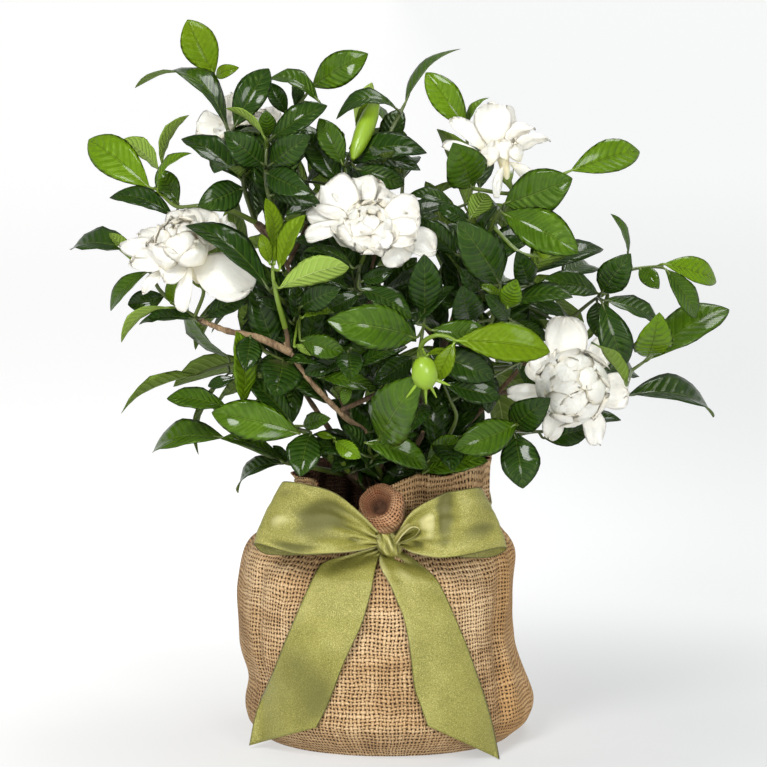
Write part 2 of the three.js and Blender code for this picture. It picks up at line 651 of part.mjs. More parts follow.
function petalsOf(bloom, seed) {
  const random = randomFrom(seed);
  const [x, z, layer] = bloom.centre;
  const depth = crownFront(x, z) + layer;
  const centre = seen(x, z, depth);
  const axis = vec(...bloom.axis).normalize();
  const petals = bloom.petals.map(([rx, rz, tx, tz, width, rootOut, tipOut, faces]) => {
    const root = seen(rx, rz, depth - rootOut);
    const tip = seen(tx, tz, depth - tipOut);
    const face = axis.clone().addScaledVector(VIEWER, faces);
    const shape = { arch: 0.04 + 0.06 * random(), fold: 0.22, stalk: centre };
    return blade("petal", root, tip, face, width, shape);
  });
  const side = axis.clone().cross(vec(0.2, 0.9, 0.4)).normalize();
  for (let i = 0; i < WHORL.count; i++) {
    const turn = (2 * Math.PI * (i + 0.25 * random())) / WHORL.count;
    const tilt = THREE.MathUtils.degToRad(WHORL.open + 10 * (random() - 0.5));
    const out = side.clone().applyAxisAngle(axis, turn);
    const along = axis.clone().multiplyScalar(Math.cos(tilt)).addScaledVector(out, Math.sin(tilt));
    const inward = axis.clone().multiplyScalar(Math.sin(tilt)).addScaledVector(out, -Math.cos(tilt));
    const root = centre.clone().addScaledVector(out, 2).addScaledVector(along, 0.2 * bloom.heart);
    const tip = centre.clone().addScaledVector(along, bloom.heart);
    petals.push(blade("petal", root, tip, inward, WHORL.wide * bloom.heart, { arch: -0.12, fold: 0.3 }));
  }
  const foot = centre.clone().addScaledVector(axis, -TUBE.length);
  return { carrier: bloom.carrier, centre, axis, petals, heart: bloom.heart, foot };
}

// The green stalk that carries a bloom, flared at its end into a calyx with narrow lobes.
const CALYX = { bend: 9, stalk: 1.3, flare: 3, lobes: 4, lobe: 6, apart: 2.6 };

function bloomStalk(bloom, points) {
  const end = bloom.foot.clone().addScaledVector(bloom.axis, -GAP);
  const bend = end.clone().addScaledVector(bloom.axis, -CALYX.bend);
  const pieces = [stem([rootedOn(points, bend), bend, end], [CALYX.stalk, CALYX.stalk, CALYX.flare], 4)];
  const side = bloom.axis.clone().cross(vec(0.2, 0.9, 0.4)).normalize();
  for (let i = 0; i < CALYX.lobes; i++) {
    const out = side.clone().applyAxisAngle(bloom.axis, (2 * Math.PI * i) / CALYX.lobes);
    const across = bloom.axis.clone().cross(out);
    const root = end.clone().addScaledVector(bloom.axis, -2).addScaledVector(out, CALYX.flare - 1.5);
    const spread = CALYX.flare + CALYX.apart;
    const tip = end.clone().addScaledVector(bloom.axis, CALYX.lobe).addScaledVector(out, spread);
    const ring = [[1.1, -0.2], [0, 0.9], [-1.1, -0.2]];
    const foot = ring.map(([a, b]) => root.clone().addScaledVector(across, a).addScaledVector(out, b));
    pieces.push(loft([foot], null, tip));
  }
  return pieces;
}

// A closed bud on its stalk, with the calyx lobes that spread from it. A profile's row: the place along
// it, and the radius over its width.
const BUD = {
  profile: [[-0.05, 0.1], [0.2, 0.32], [0.55, 0.5], [0.86, 0.3], [1, 0.06]],
  sides: 6,
  stalk: 1.3,
  lobe: [1.9, 0.5],
  lobesFrom: 0.6,
};

function budPieces(plan) {
  const { stalk, tip, wide, lobes } = plan;
  const points = stalk.map(([x, z, layer]) => behindFront(x, z, layer));
  const along = (u) => points.at(-1).clone().lerp(behindFront(...tip), u);
  const places = BUD.profile.map(([u]) => along(u));
  const body = stem(places, BUD.profile.map(([, share]) => share * wide), BUD.sides);
  const ends = lobes.map(([x, z]) => behindFront(x, z, tip[2]));
  const spread = ends.map((end) => stem([along(BUD.lobesFrom), end], BUD.lobe, 3));
  return [stem(points, points.map(() => BUD.stalk), 3), body, ...spread];
}

// A leaf given as it is seen. Its tip comes forward by what makes up its true length.
function leafSeen(row, random) {
  const [rx, rz, tx, tz, width, layer, showing, arch, age] = row;
  const flat = Math.hypot(tx - rx, tz - rz);
  const rootDepth = crownFront(rx, rz) + layer;
  const grown = Math.max(flat, width / LEAF_RATIO);
  const foreshortened = Math.sqrt(grown ** 2 - flat ** 2);
  const along = 0.6 * (crownFront(tx, tz) - crownFront(rx, rz));
  const tipDepth = rootDepth + along - Math.max(0.14 * flat, 0.85 * foreshortened);
  const root = seen(rx, rz, rootDepth);
  const tip = seen(tx, tz, tipDepth);
  const axis = tip.clone().sub(root).normalize();
  const towards = VIEWER.clone().addScaledVector(axis, -VIEWER.dot(axis)).normalize();
  const upward = axis.clone().cross(towards);
  if (upward.z + 0.2 * upward.x < 0) upward.negate();
  const narrow = THREE.MathUtils.clamp(width / (LEAF_RATIO * root.distanceTo(tip)), 0.25, 1);
  const turn = Math.acos(narrow);
  const face = towards.multiplyScalar(showing * Math.cos(turn));
  face.addScaledVector(upward, Math.sin(turn) + 0.15);
  const fold = 0.16 + 0.16 * random();
  return blade("leaf", root, tip, face, width / narrow, { arch, fold, age });
}

// The shoots round the back and sides: a stem that curves up and outward, and its leaves in crossed pairs.
function crownShoot(direction, rise, reach, seed) {
  const random = randomFrom(seed);
  const turn = THREE.MathUtils.degToRad(direction + 8 * (random() - 0.5));
  const lift = THREE.MathUtils.degToRad(rise);
  const tall = rise > 0 ? BACK_CROWN.up : BACK_CROWN.down;
  const surface = (part, drop) => {
    const share = part * reach;
    return vec(
      BACK_CROWN.x + share * BACK_CROWN.wide * Math.cos(lift) * Math.cos(turn),
      share * BACK_CROWN.deep * Math.cos(lift) * Math.sin(turn),
      BACK_CROWN.z + share * tall * Math.sin(lift) - drop,
    );
  };
  const points = [surface(0.4, 12), surface(0.54, 5), surface(0.68, 0), surface(0.8, 1)];
  const leaves = [];
  const stations = reach < 1 ? [[0.2, 2], [0.6, 2], [1, 2]] : [[0.3, 2], [0.66, 2], [1, 1]];
  const axis = points[3].clone().sub(points[0]).normalize();
  const level = axis.clone().cross(UP).normalize();
  stations.forEach(([share, count], ring) => {
    const at = Math.min(2.999, share * 3);
    const from = points[Math.floor(at)].clone().lerp(points[Math.floor(at) + 1], at % 1);
    for (let i = 0; i < count; i++) {
      const spin = Math.PI * i + (Math.PI / 2) * ring + 0.6 * (random() - 0.5);
      const out = level.clone().applyAxisAngle(axis, spin);
      const open = share === 1 ? 0.62 : 1.02;
      const along = axis.clone().multiplyScalar(Math.cos(open)).addScaledVector(out, Math.sin(open));
      along.z -= 0.12;
      along.normalize();
      const length = 50 + 15 * random();
      const root = from.clone().addScaledVector(along, 6);
      const tip = root.clone().addScaledVector(along, length);
      const face = axis.clone().addScaledVector(UP, 0.7).addScaledVector(along, -0.2);
      const shape = { atBack: true, arch: 0.06 + 0.06 * random(), fold: 0.18 + 0.14 * random() };
      shape.age = random() < 0.25 ? 1 : 0;
      leaves.push(blade("leaf", root, tip, face, 0.46 * length, shape));
    }
  });
  return { points, leaves };
}

// Leaves that would cross are bent clear: each moves along the line of sight, so its place in the view stays.
const CLEAR = { rounds: 70, apart: 5.4, fromStems: 4.6, rootMoves: 12, tipMoves: 36 };
const STATIONS = [0.1, 0.22, 0.34, 0.46, 0.58, 0.7, 0.82, 0.93, 1];
const ACROSS = [-0.95, -0.5, 0, 0.5, 0.95];

function samplesOf(b) {
  return STATIONS.flatMap((u) => ACROSS.map((v) => ({ u, place: bladePoint(b, u, v) })));
}

function slid(point, move) {
  const eye = eyePoint();
  return eye.clone().lerp(point, (point.y + move - eye.y) / (point.y - eye.y));
}

function settle(blades, posts) {
  const start = blades.map((b) => ({ root: b.root, tip: b.tip, depth: (b.root.y + b.tip.y) / 2 }));
  const samples = blades.map(samplesOf);
  const push = (i, u, step) => {
    const b = blades[i];
    if (b.fixed) return;
    const within = THREE.MathUtils.clamp;
    b.moved[0] = within(b.moved[0] + 0.5 * (1 - u) * step, -CLEAR.rootMoves, CLEAR.rootMoves);
    b.moved[1] = within(b.moved[1] + (0.35 + 0.65 * u) * step, -CLEAR.tipMoves, CLEAR.tipMoves);
  };
  for (let round = 0; round < CLEAR.rounds; round++) {
    let pushes = 0;
    for (let i = 0; i < blades.length; i++) {
      const a = blades[i];
      for (let j = i + 1; j < blades.length; j++) {
        const b = blades[j];
        if (a.fixed && b.fixed) continue;
        const middle = a.root.clone().add(a.tip).sub(b.root).sub(b.tip).length() / 2;
        if (middle > (a.length + b.length) / 2 + 8) continue;
        const kin = a.owner === b.owner;
        let best = kin ? 0.75 * CLEAR.apart : CLEAR.apart;
        let pair = null;
        for (const p of samples[i]) {
          if (kin && p.u < 0.3) continue;
          for (const q of samples[j]) {
            if (kin && q.u < 0.3) continue;
            const gap = p.place.distanceTo(q.place);
            if (gap < best) {
              best = gap;
              pair = [p, q];
            }
          }
        }
        if (!pair) continue;
        const sign = start[i].depth > start[j].depth ? 1 : -1;
        const step = (CLEAR.apart - best) * 0.5 + 0.3;
        push(i, pair[0].u, sign * step);
        push(j, pair[1].u, -sign * step);
        pushes++;
      }
      if (a.fixed) continue;
      for (const post of posts) {
        if (post.place.distanceTo(a.root) > a.length + 10) continue;
        const own = post.owner === a.owner;
        for (const p of samples[i]) {
          if (own && p.u < 0.4) continue;
          const gap = p.place.distanceTo(post.place);
          if (gap >= CLEAR.fromStems) continue;
          const sign = start[i].depth > post.place.y ? 1 : -1;
          push(i, p.u, sign * ((CLEAR.fromStems - gap) * 0.5 + 0.3));
          pushes++;
          break;
        }
      }
    }
    blades.forEach((b, i) => {
      if (b.fixed) return;
      b.root = slid(start[i].root, b.moved[0]);
      b.tip = slid(start[i].tip, b.moved[1]);
      Object.assign(b, blade(b.kind, b.root, b.tip, b.normal, b.width, { moved: b.moved }));
      samples[i] = samplesOf(b);
    });
    if (!pushes) break;
  }
}

// The sack's outline: heights, and the radius there on the left, on the right, and in front and behind.
const SACK_OUTLINE = [
  [0, SACK.base, SACK.base, SACK.base],
  [5, 92, 93, 92],
  [20, 97, 100, 98],
  [40, 93, 93, 99],
  [58, 99, 86, 99],
  [77, 100.5, 84, 98],
  [98, 100.5, 86, 96],
  [120, 98, 88, 88],
  [127, 96, 87, 81],
  [134, 90, 83, 70],
  [141, 76, 74, 66],
  [150, 66, 69, 65],
  [180, 57, 69, 61],
];
// Small folds gather towards the neck, and the cloth below them sways in and out. Heights from and to.
const FOLDS = { neck: 6, depth: 2.6, gathered: [80, 149], big: 5, sway: 1.6, slack: [4, 40] };

function sackRadius(angle, z) {
  let row = SACK_OUTLINE.findIndex(([height]) => height >= z);
  if (row < 0) row = SACK_OUTLINE.length - 1;
  const above = SACK_OUTLINE[row];
  const below = SACK_OUTLINE[Math.max(0, row - 1)];
  const share = above === below ? 1 : (z - below[0]) / (above[0] - below[0]);
  const at = (i) => below[i] + (above[i] - below[i]) * share;
  const sideways = Math.cos(angle) ** 2;
  const side = Math.cos(angle) < 0 ? at(1) : at(2);
  const gathered = THREE.MathUtils.smoothstep(z, ...FOLDS.gathered);
  const folds = -FOLDS.depth * gathered * Math.cos(FOLDS.neck * angle);
  const slack = THREE.MathUtils.smoothstep(z, ...FOLDS.slack) * (1 - gathered);
  return side * sideways + at(3) * (1 - sideways) + folds + FOLDS.sway * slack * Math.sin(FOLDS.big * angle);
}

const rimHeight = (angle) => SACK.rim + SACK.rise * Math.cos(angle) + SACK.wave * Math.cos(FOLDS.big * angle);

function rimPoint(angle) {
  const r = sackRadius(angle, SACK.rim) - CLOTH / 2;
  return [r * Math.cos(angle), r * Math.sin(angle), rimHeight(angle)];
}

function around(sides, place) {
  return Array.from({ length: sides }, (_, k) => place((2 * Math.PI * k) / sides));
}

function sackRing(z, inset) {
  return around(SACK.sides, (angle) => {
    const r = sackRadius(angle, z) - inset;
    return vec(r * Math.cos(angle), r * Math.sin(angle), z);
  });
}

function burlapSack() {
  const heights = SACK_OUTLINE.map(([z]) => z).slice(0, -1);
  const rim = (inset) =>
    around(SACK.sides, (angle) => {
      const r = sackRadius(angle, SACK.rim) - inset;
      return vec(r * Math.cos(angle), r * Math.sin(angle), rimHeight(angle));
    });
  const outside = heights.map((z) => sackRing(z, 0));
  const inside = heights.slice(2).map((z) => sackRing(z, CLOTH));
  const { sides, base } = SACK;
  const floor = around(sides, (angle) => vec(base * Math.cos(angle), base * Math.sin(angle), CLOTH));
  const rings = [...outside, rim(0), rim(CLOTH), ...inside.reverse(), floor];
  return loft(rings, vec(0, 0, 0), vec(0, 0, CLOTH));
}

// A solid of revolution about the plant's axis.
function turned(profile, sides) {
  const points = profile.map(([r, z]) => new THREE.Vector2(r, z));
  return new THREE.LatheGeometry(points, sides).rotateX(Math.PI / 2);
}

function nurseryPot() {
  const top = SEAT + POT.height;
  const profile = [
    [0, SEAT],
    [POT.base, SEAT],
    [POT.rim - 1, top - POT.lip],
    [POT.rim + POT.bead - 1, top - POT.lip],
    [POT.rim + POT.bead - 1, top],
    [POT.rim - POT.wall, top],
    [POT.base - POT.wall, SEAT + POT.wall],
    [0, SEAT + POT.wall],
  ];
  return turned(profile, POT.sides);
}

// The soil fills the pot and heaps a little round the trunk, which stands in a plain hole.
const HEAP = { edge: -2, shoulder: 1, shoulderShare: 0.6, middle: 1.5, slack: 0.4, holeSides: 16 };

function pottingSoil(trunkFoot) {
  const room = POT.wall + GAP;
  const at = (z) => POT.base - room - HEAP.slack + ((POT.rim - POT.base) * (z - SEAT)) / POT.height;
  const floor = SEAT + room;
  const edge = SOIL_TOP + HEAP.edge;
  const profile = [
    [0, floor],
    [at(floor), floor],
    [at(edge), edge],
    [at(edge) * HEAP.shoulderShare, SOIL_TOP + HEAP.shoulder],
    [0, SOIL_TOP + HEAP.middle],
  ];
  const heap = turned(profile, POT.sides);
  const bore = BARK.trunk + 2 * GAP;
  const deep = SOIL_TOP / 2;
  const hole = new THREE.CylinderGeometry(bore, bore, deep, HEAP.holeSides).rotateX(Math.PI / 2);
  hole.translate(0, 0, trunkFoot.z - GAP + deep / 2);
  return geometryOf(solid(heap).subtract(solid(hole)));
}

// A strip of ribbon through stations, each the x and z of its two edges and its depths there.
function ribbonStrip(stations) {
  const rings = stations.map(([a, b], i) => {
    const middle = a.clone().lerp(b, 0.5);
    const ahead = stations[Math.min(i + 1, stations.length - 1)];
    const behind = stations[Math.max(i - 1, 0)];
    const along = ahead[0].clone().add(ahead[1]).sub(behind[0]).sub(behind[1]).normalize();
    const out = b.clone().sub(a).cross(along).normalize().multiplyScalar(RIBBON.thick / 2);
    if (stations[i][2]) middle.add(stations[i][2]);
    const front = [a, middle, b].map((p) => p.clone().add(out));
    return front.concat([b, middle, a].map((p) => p.clone().sub(out)));
  });
  return loft(rings);
}

// A loop of the bow. A row: the x and z of its upper edge, of its lower edge, and its depth y.
const LOOPS = {
  ribbon_loop_left: [
    [-7.2, 138, -7.2, 128, -84],
    [-18, 150, -20, 125, -92],
    [-34, 163, -37, 123, -99],
    [-52, 169, -60, 122, -100],
    [-66, 171, -84, 129, -90],
    [-70, 170, -88, 132, -82],
    [-64, 167, -80, 134, -77],
    [-40, 158, -45, 134, -78],
    [-18, 146, -20, 132, -79],
    [-7.2, 138, -7.2, 130, -79],
  ],
  ribbon_loop_right: [
    [9, 138, 9, 128, -84],
    [18, 152, 20, 123, -92],
    [36, 162, 38, 120, -99],
    [52, 166, 58, 123, -99],
    [60, 167, 75, 127, -90],
    [63, 166, 79, 130, -82],
    [56, 164, 70, 134, -77],
    [38, 157, 40, 134, -78],
    [18, 146, 20, 132, -79],
    [9, 138, 9, 130, -79],
  ],
};
// A tail of the bow: the x and z of its left edge and of its right edge, down to its cut end.
const TAILS = {
  ribbon_tail_left: [
    [-27, 121, -9, 117],
    [-46, 113, -10, 100],
    [-54, 97, -13, 88],
    [-61, 81, -17, 75],
    [-69, 62, -23, 62],
    [-76, 44, -29, 49],
    [-87, 18, -39, 23],
    [-92, -5, -47, 7],
  ],
  ribbon_tail_right: [
    [-4, 117, 22, 116],
    [2, 102, 32, 107],
    [7, 90, 38, 97],
    [11, 80, 43, 86],
    [14, 66, 49, 72],
    [16, 52, 55, 57],
    [18, 34, 66, 25],
    [22, 22, 71, 6],
    [27, 8, 75, -14],
  ],
};
// Below the free height a tail hangs straight, and its tip lies on the floor.
const TAIL = { gap: 3.8, least: 52, free: 30, floor: 0.9 };

// A point of a tail, on the sack's front.
function onSack(x, z, out) {
  let place = seen(x, z, -98);
  for (let i = 0; i < 4; i++) {
    const r = sackRadius(Math.atan2(place.y, place.x), Math.max(TAIL.free, place.z));
    const depth = Math.sqrt(Math.max(0, r * r - place.x * place.x)) + out;
    place = seen(x, z, -Math.max(TAIL.least, depth));
  }
  if (place.z >= TAIL.floor) return place;
  const eye = eyePoint();
  return eye.clone().lerp(place, (eye.z - TAIL.floor) / (eye.z - place.z));
}

function ribbonBand() {
  const ring = (z, out) =>
    around(SACK.sides, (angle) => {
      const r = sackRadius(angle, z) + out;
      return vec(r * Math.cos(angle), r * Math.sin(angle), z);
    });
  const inner = (z) => ring(z, RIBBON.bandClear);
  const outer = (z) => ring(z, RIBBON.bandClear + RIBBON.thick);
  const { bandLow, bandHigh } = RIBBON;
  return loft([outer(bandLow), outer(bandHigh), inner(bandHigh), inner(bandLow)], null, null, true);
}

const KNOT = { x: 0.7, z: 130.5, y: -77.5, wide: 15, deep: 15.5, tall: 18 };

function ribbonKnot() {
  const ball = new THREE.SphereGeometry(0.5, 10, 6);
  ball.scale(KNOT.wide, KNOT.deep, KNOT.tall);
  const place = seen(KNOT.x, KNOT.z, KNOT.y);
  return ball.translate(place.x, place.y, place.z);
}

// The shoots, with their stems and leaves in place.
function growShoots() {
  const shoots = Object.entries(SHOOTS).map(([name, plan], i) => {
    const random = randomFrom(101 + i);
    const points = plan.stem.map(([x, z, layer]) => behindFront(x, z, layer));
    const leaves = plan.leaves.map((row) => leafSeen(row, random));
    return { name, points, leaves, after: plan.after, bud: plan.bud };
  });
  BACK_SHOOTS.forEach(([direction, rise], i) => {
    shoots.push({ name: `shoot_back_${i + 1}`, ...crownShoot(direction, rise, 1, 301 + i) });
  });
  INNER_SHOOTS.forEach(([direction, rise], i) => {
    shoots.push({ name: `shoot_inside_${i + 1}`, ...crownShoot(direction, rise, INNER_REACH, 401 + i) });
  });
  return shoots;
}

const shoots = growShoots();
const byName = Object.fromEntries(shoots.map((shoot) => [shoot.name, shoot]));
const blooms = Object.entries(BLOOMS).map(([name, plan], i) => ({ name, ...petalsOf(plan, 501 + i) }));
const boughs = BOUGHS.map((rows) => rows.map(([x, z, y]) => seen(x, z, y)));
BACK_BOUGHS.forEach(([direction, reach, top]) => {
  const turn = THREE.MathUtils.degToRad(direction);
  const at = (share, z) => vec(share * reach * Math.cos(turn), share * reach * Math.sin(turn), z);
  boughs.push([vec(0, 0, 142), at(0.3, 175), at(0.65, 0.5 * (175 + top)), at(1, top)]);
});

// A shoot starts a hair's breadth from the wood or the shoot that carries it.
const twigs = [];
for (const shoot of shoots) {
  const parent = byName[shoot.after];
  if (parent) {
    const end = parent.points.at(-1);
    const along = end.clone().sub(parent.points.at(-2)).normalize();
    const start = end.clone().addScaledVector(along, GAP);
    shoot.points.splice(0, 1, start, end.clone().addScaledVector(along, SHOOT.straight));
    continue;
  }
  const [start, next] = shoot.points;
  const along = next.clone().sub(start).normalize();
  const end = start.clone().addScaledVector(along, -GAP);
  const below = end.clone().addScaledVector(along, -BARK.twigEnd);
  const from = below.clone().addScaledVector(UP, -BARK.twigDrop);
  const roots = boughs.map((points) => nearestOn(points, from));
  const root = roots.reduce((a, b) => (a.distanceTo(below) < b.distanceTo(below) ? a : b));
  twigs.push([root, below, end]);
}

const posts = [];
const addPosts = (points, owner, spacing = 7) => {
  for (let i = 0; i + 1 < points.length; i++) {
    const steps = Math.max(1, Math.round(points[i].distanceTo(points[i + 1]) / spacing));
    for (let k = 0; k <= steps; k++) {
      posts.push({ place: points[i].clone().lerp(points[i + 1], k / steps), owner });
    }
  }
};
shoots.forEach((shoot) => addPosts(shoot.points, shoot.name));
boughs.forEach((points) => addPosts(points, "woody_stems"));
twigs.forEach((points) => addPosts(points, "woody_stems"));
addPosts(around(40, (angle) => vec(...rimPoint(angle))), "burlap_sack");
shoots.forEach((shoot) => shoot.leaves.forEach((leaf) => Object.assign(leaf, { owner: shoot.name })));
blooms.forEach((bloom) => bloom.petals.forEach((p) => Object.assign(p, { owner: bloom.name, fixed: true })));
settle([...shoots.flatMap((shoot) => shoot.leaves), ...blooms.flatMap((bloom) => bloom.petals)], posts);

// What the pieces are made of.
const finish = (color, roughness) => new THREE.MeshStandardMaterial({ color, roughness, metalness: 0 });
const FINISH = {
  old_leaf: finish(0x2c4a1a, 0.3),
  young_leaf: finish(0x8bb51c, 0.4),
  bark: finish(0x6f4f34, 0.85),
  petal: finish(0xf4f1e8, 0.5),
  burlap: finish(0xb58e5f, 0.95),
  satin: finish(0x747a34, 0.35),
  pot: finish(0x1d1d1d, 0.5),
  soil: finish(0x33241a, 1),
};

const gardenia = new THREE.Group();
function add(name, geometry, material) {
  const mesh = new THREE.Mesh(geometry, material);
  mesh.name = name;
  gardenia.add(mesh);
}

add("nursery_pot", nurseryPot(), FINISH.pot);
add("potting_soil", pottingSoil(boughs[0][0]), FINISH.soil);
add("burlap_sack", burlapSack(), FINISH.burlap);
add("ribbon_band", ribbonBand(), FINISH.satin);
add("ribbon_knot", ribbonKnot(), FINISH.satin);
for (const [name, rows] of Object.entries(LOOPS)) {
  const stations = rows.map(([ax, az, bx, bz, y]) => [seen(ax, az, y), seen(bx, bz, y)]);
  add(name, ribbonStrip(stations), FINISH.satin);
}
for (const [name, rows] of Object.entries(TAILS)) {
  const stations = rows.map(([ax, az, bx, bz]) => {
    const [a, b] = [onSack(ax, az, TAIL.gap), onSack(bx, bz, TAIL.gap)];
    const middle = onSack((ax + bx) / 2, (az + bz) / 2, TAIL.gap);
    return [a, b, middle.sub(a.clone().lerp(b, 0.5))];
  });
  add(name, ribbonStrip(stations), FINISH.satin);
}

const wood = boughs.map((points, i) => {
  const radii = points.map((_, k) => BARK.bough + (BARK.end - BARK.bough) * (k / (points.length - 1)));
  if (i === 0) radii.splice(0, 3, BARK.trunk, BARK.trunk, BARK.collar);
  return stem(points, radii, i === 0 ? 5 : 3);
});
twigs.forEach((points) => wood.push(stem(points, [BARK.twig, BARK.twig, BARK.twig], 3)));
add("woody_stems", fused(wood), FINISH.bark);

for (const shoot of shoots) {
  const { points, leaves } = shoot;
  const radii = points.map((_, k) => SHOOT.foot + ((SHOOT.tip - SHOOT.foot) * k) / (points.length - 1));
  const pieces = [stem(points, radii, 3)];
  leaves.forEach((leaf) => {
    leaf.stalk = rootedOn(points, leaf.root);
    pieces.push(bladeGeometry(leaf));
  });
  if (shoot.bud) pieces.push(...budPieces(shoot.bud));
  const carried = blooms.filter((bloom) => bloom.carrier === shoot.name);
  carried.forEach((bloom) => pieces.push(...bloomStalk(bloom, points)));
  const young = leaves.reduce((sum, leaf) => sum + leaf.age, 0) / leaves.length;
  add(shoot.name, fused(pieces), young > 1.6 ? FINISH.young_leaf : FINISH.old_leaf);
}

for (const bloom of blooms) {
  const throat = bloom.centre.clone().addScaledVector(bloom.axis, 1);
  const tube = stem([bloom.foot, throat], [TUBE.foot, TUBE.throat], 6);
  const heart = new THREE.IcosahedronGeometry(bloom.heart * HEART, 0).translate(...bloom.centre.toArray());
  add(bloom.name, fused([heart, tube, ...bloom.petals.map(bladeGeometry)]), FINISH.petal);
}

export default gardenia;
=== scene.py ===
"""A gardenia in a nursery pot, wrapped in a burlap sack that a satin ribbon ties under its rim."""
import functools
import math

import bpy
import numpy as np
from bpy.props import FloatProperty, FloatVectorProperty, IntProperty, PointerProperty
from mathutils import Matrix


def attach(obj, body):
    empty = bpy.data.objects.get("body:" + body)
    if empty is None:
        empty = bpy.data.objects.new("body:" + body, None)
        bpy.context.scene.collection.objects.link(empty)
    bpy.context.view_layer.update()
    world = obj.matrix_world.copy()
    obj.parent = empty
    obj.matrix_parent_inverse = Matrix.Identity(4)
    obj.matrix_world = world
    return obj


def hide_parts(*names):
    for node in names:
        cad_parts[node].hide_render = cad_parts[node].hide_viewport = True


bl_info = {
    "name": "Potted gardenia",
    "version": (1, 0, 0),
    "blender": (4, 5, 0),
    "location": "3D View > Sidebar > Gardenia",
    "description": "Builds a flowering gardenia in a burlap sack with a satin bow",
    "category": "Add Mesh",
}

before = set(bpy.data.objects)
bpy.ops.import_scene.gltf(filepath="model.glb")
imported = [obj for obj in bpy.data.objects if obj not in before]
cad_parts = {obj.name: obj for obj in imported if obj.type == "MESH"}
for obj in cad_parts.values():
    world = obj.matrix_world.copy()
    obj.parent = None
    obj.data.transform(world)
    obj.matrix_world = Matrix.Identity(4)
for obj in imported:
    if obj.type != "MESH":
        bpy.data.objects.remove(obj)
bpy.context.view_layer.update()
MM = 0.001

# Sizes that the piece shares with its solids, in millimetres
GAP = 0.3
SEAT = 2.2
POT = {"height": 123, "base": 54, "rim": 72, "wall": 1.6, "bead": 2.4, "lip": 8}
SOIL_TOP = 114
CLOTH = 1.7
SACK = {"base": 80, "rim": 180, "rise": 5, "wave": 2, "tuck": 13, "dip": 23, "neck": (146, 172), "girth": 95,
        "sides": 240}
RIBBON = {"thick": 0.7, "low": 146, "high": 160, "clear": 1.1, "half": 0.0215, "hem": (0.0206, 0.0213),
          "crushed": 0.018, "turn": 0.42}
EYE = {"distance": 2000, "height": 230, "tilt": math.radians(8)}
CROWN = {"x": 8, "z": 300, "wide": 225, "deep": 136, "up": 185, "down": 160}
LEAF_RATIO = 0.44
BARK = {"trunk": 6.5, "collar": 5, "bough": 3.6, "end": 2, "twig": 1.7, "twig_end": 5, "twig_drop": 10}
FILL = {"step": 15, "short": 34, "long": 52, "front": -112,
        "dense": ((-45, 388, 66, 36), (-34, 272, 52, 56), (60, 286, 44, 58), (16, 196, 52, 26),
                  (-12, 330, 40, 40))}
SHOOT = {"foot": 1.9, "tip": 1.3, "straight": 4}
INNER_REACH = 0.74
WHORL = {"count": 5, "open": 46}
TUBE = {"length": 15, "foot": 2.2, "throat": 4.4}
CALYX = {"bend": 9, "stalk": 1.3, "flare": 3, "lobes": 5, "lobe": 6, "apart": 2.6}
CLEAR = {"rounds": 70, "apart": 5.4, "stems": 4.6, "root": 12, "tip": 36}
FOLDS = {"neck": 6, "depth": 2.6, "gathered": (80, 149), "big": 5, "sway": 1.6, "slack": (4, 40)}
TAIL = {"gap": 3.8, "least": 52, "free": 30, "floor": 0.9, "start": -98}
CURL = {"foot": (5, 139, -72), "mouth": (-3, 154, -78), "sides": 60}
KNOT = {"x": 0.7, "z": 130.5, "y": -77.5, "wide": 15, "deep": 15.5, "tall": 18}
# Folds that run up the sack's sides: height, angle, whether it leans as it rises, and width
SIDE_FOLDS = ((4.5, -0.7, 1, 0.07), (-2.6, -0.5, 0, 0.12), (3.2, -2.6, 0, 0.05), (2.2, 0.9, 0, 0.09),
              (2.6, 1.9, 0, 0.06), (2.4, 2.7, 0, 0.08))
SPIRAL = 2.4
CHIP = {"radius": 0.0017, "least": (0.5, 0.4, 0.3), "most": (1.9, 1.1, 0.6), "turn": (6.28, 6.28, 6.28)}
# How many points each skin has along it and across it, or round it
GRID = {"leaf": (16, 9), "far_leaf": (10, 5), "petal": (16, 11), "loop": (96, 33), "tail": (72, 25),
        "crumple": (48, 9), "band": (200, 9), "knot": (40, 96), "pot": 96}
SEEDS = {"shoot": 101, "back": 301, "inside": 401, "bloom": 501, "heart": 601, "filling": 701}
# What a blade draws at random where it isn't given: waves along its edge, their height, its curl and its bend
RANGES = (("waves", 2.2, 4.0), ("wave", 0.02, 0.09), ("curl", 0.1, 0.55), ("bend", -0.03, 0.03))

# The stage in metres: each light's place, its width and its share of the power
LIGHTS = {"key": ((-0.8, -1.6, 1.5), 0.7, 1), "fill": ((0.8, -2.0, 0.6), 0.8, 0.6),
          "top": ((0.5, 0.5, 1.7), 0.8, 0.4)}
LIGHT_AIM = 0.25
FLOOR = {"reach": 60, "sides": 64}
CAMERA = {"sensor": 36, "focus_pixels": 3000, "frame_pixels": 767, "shift": (-0.0046, 0.0124)}

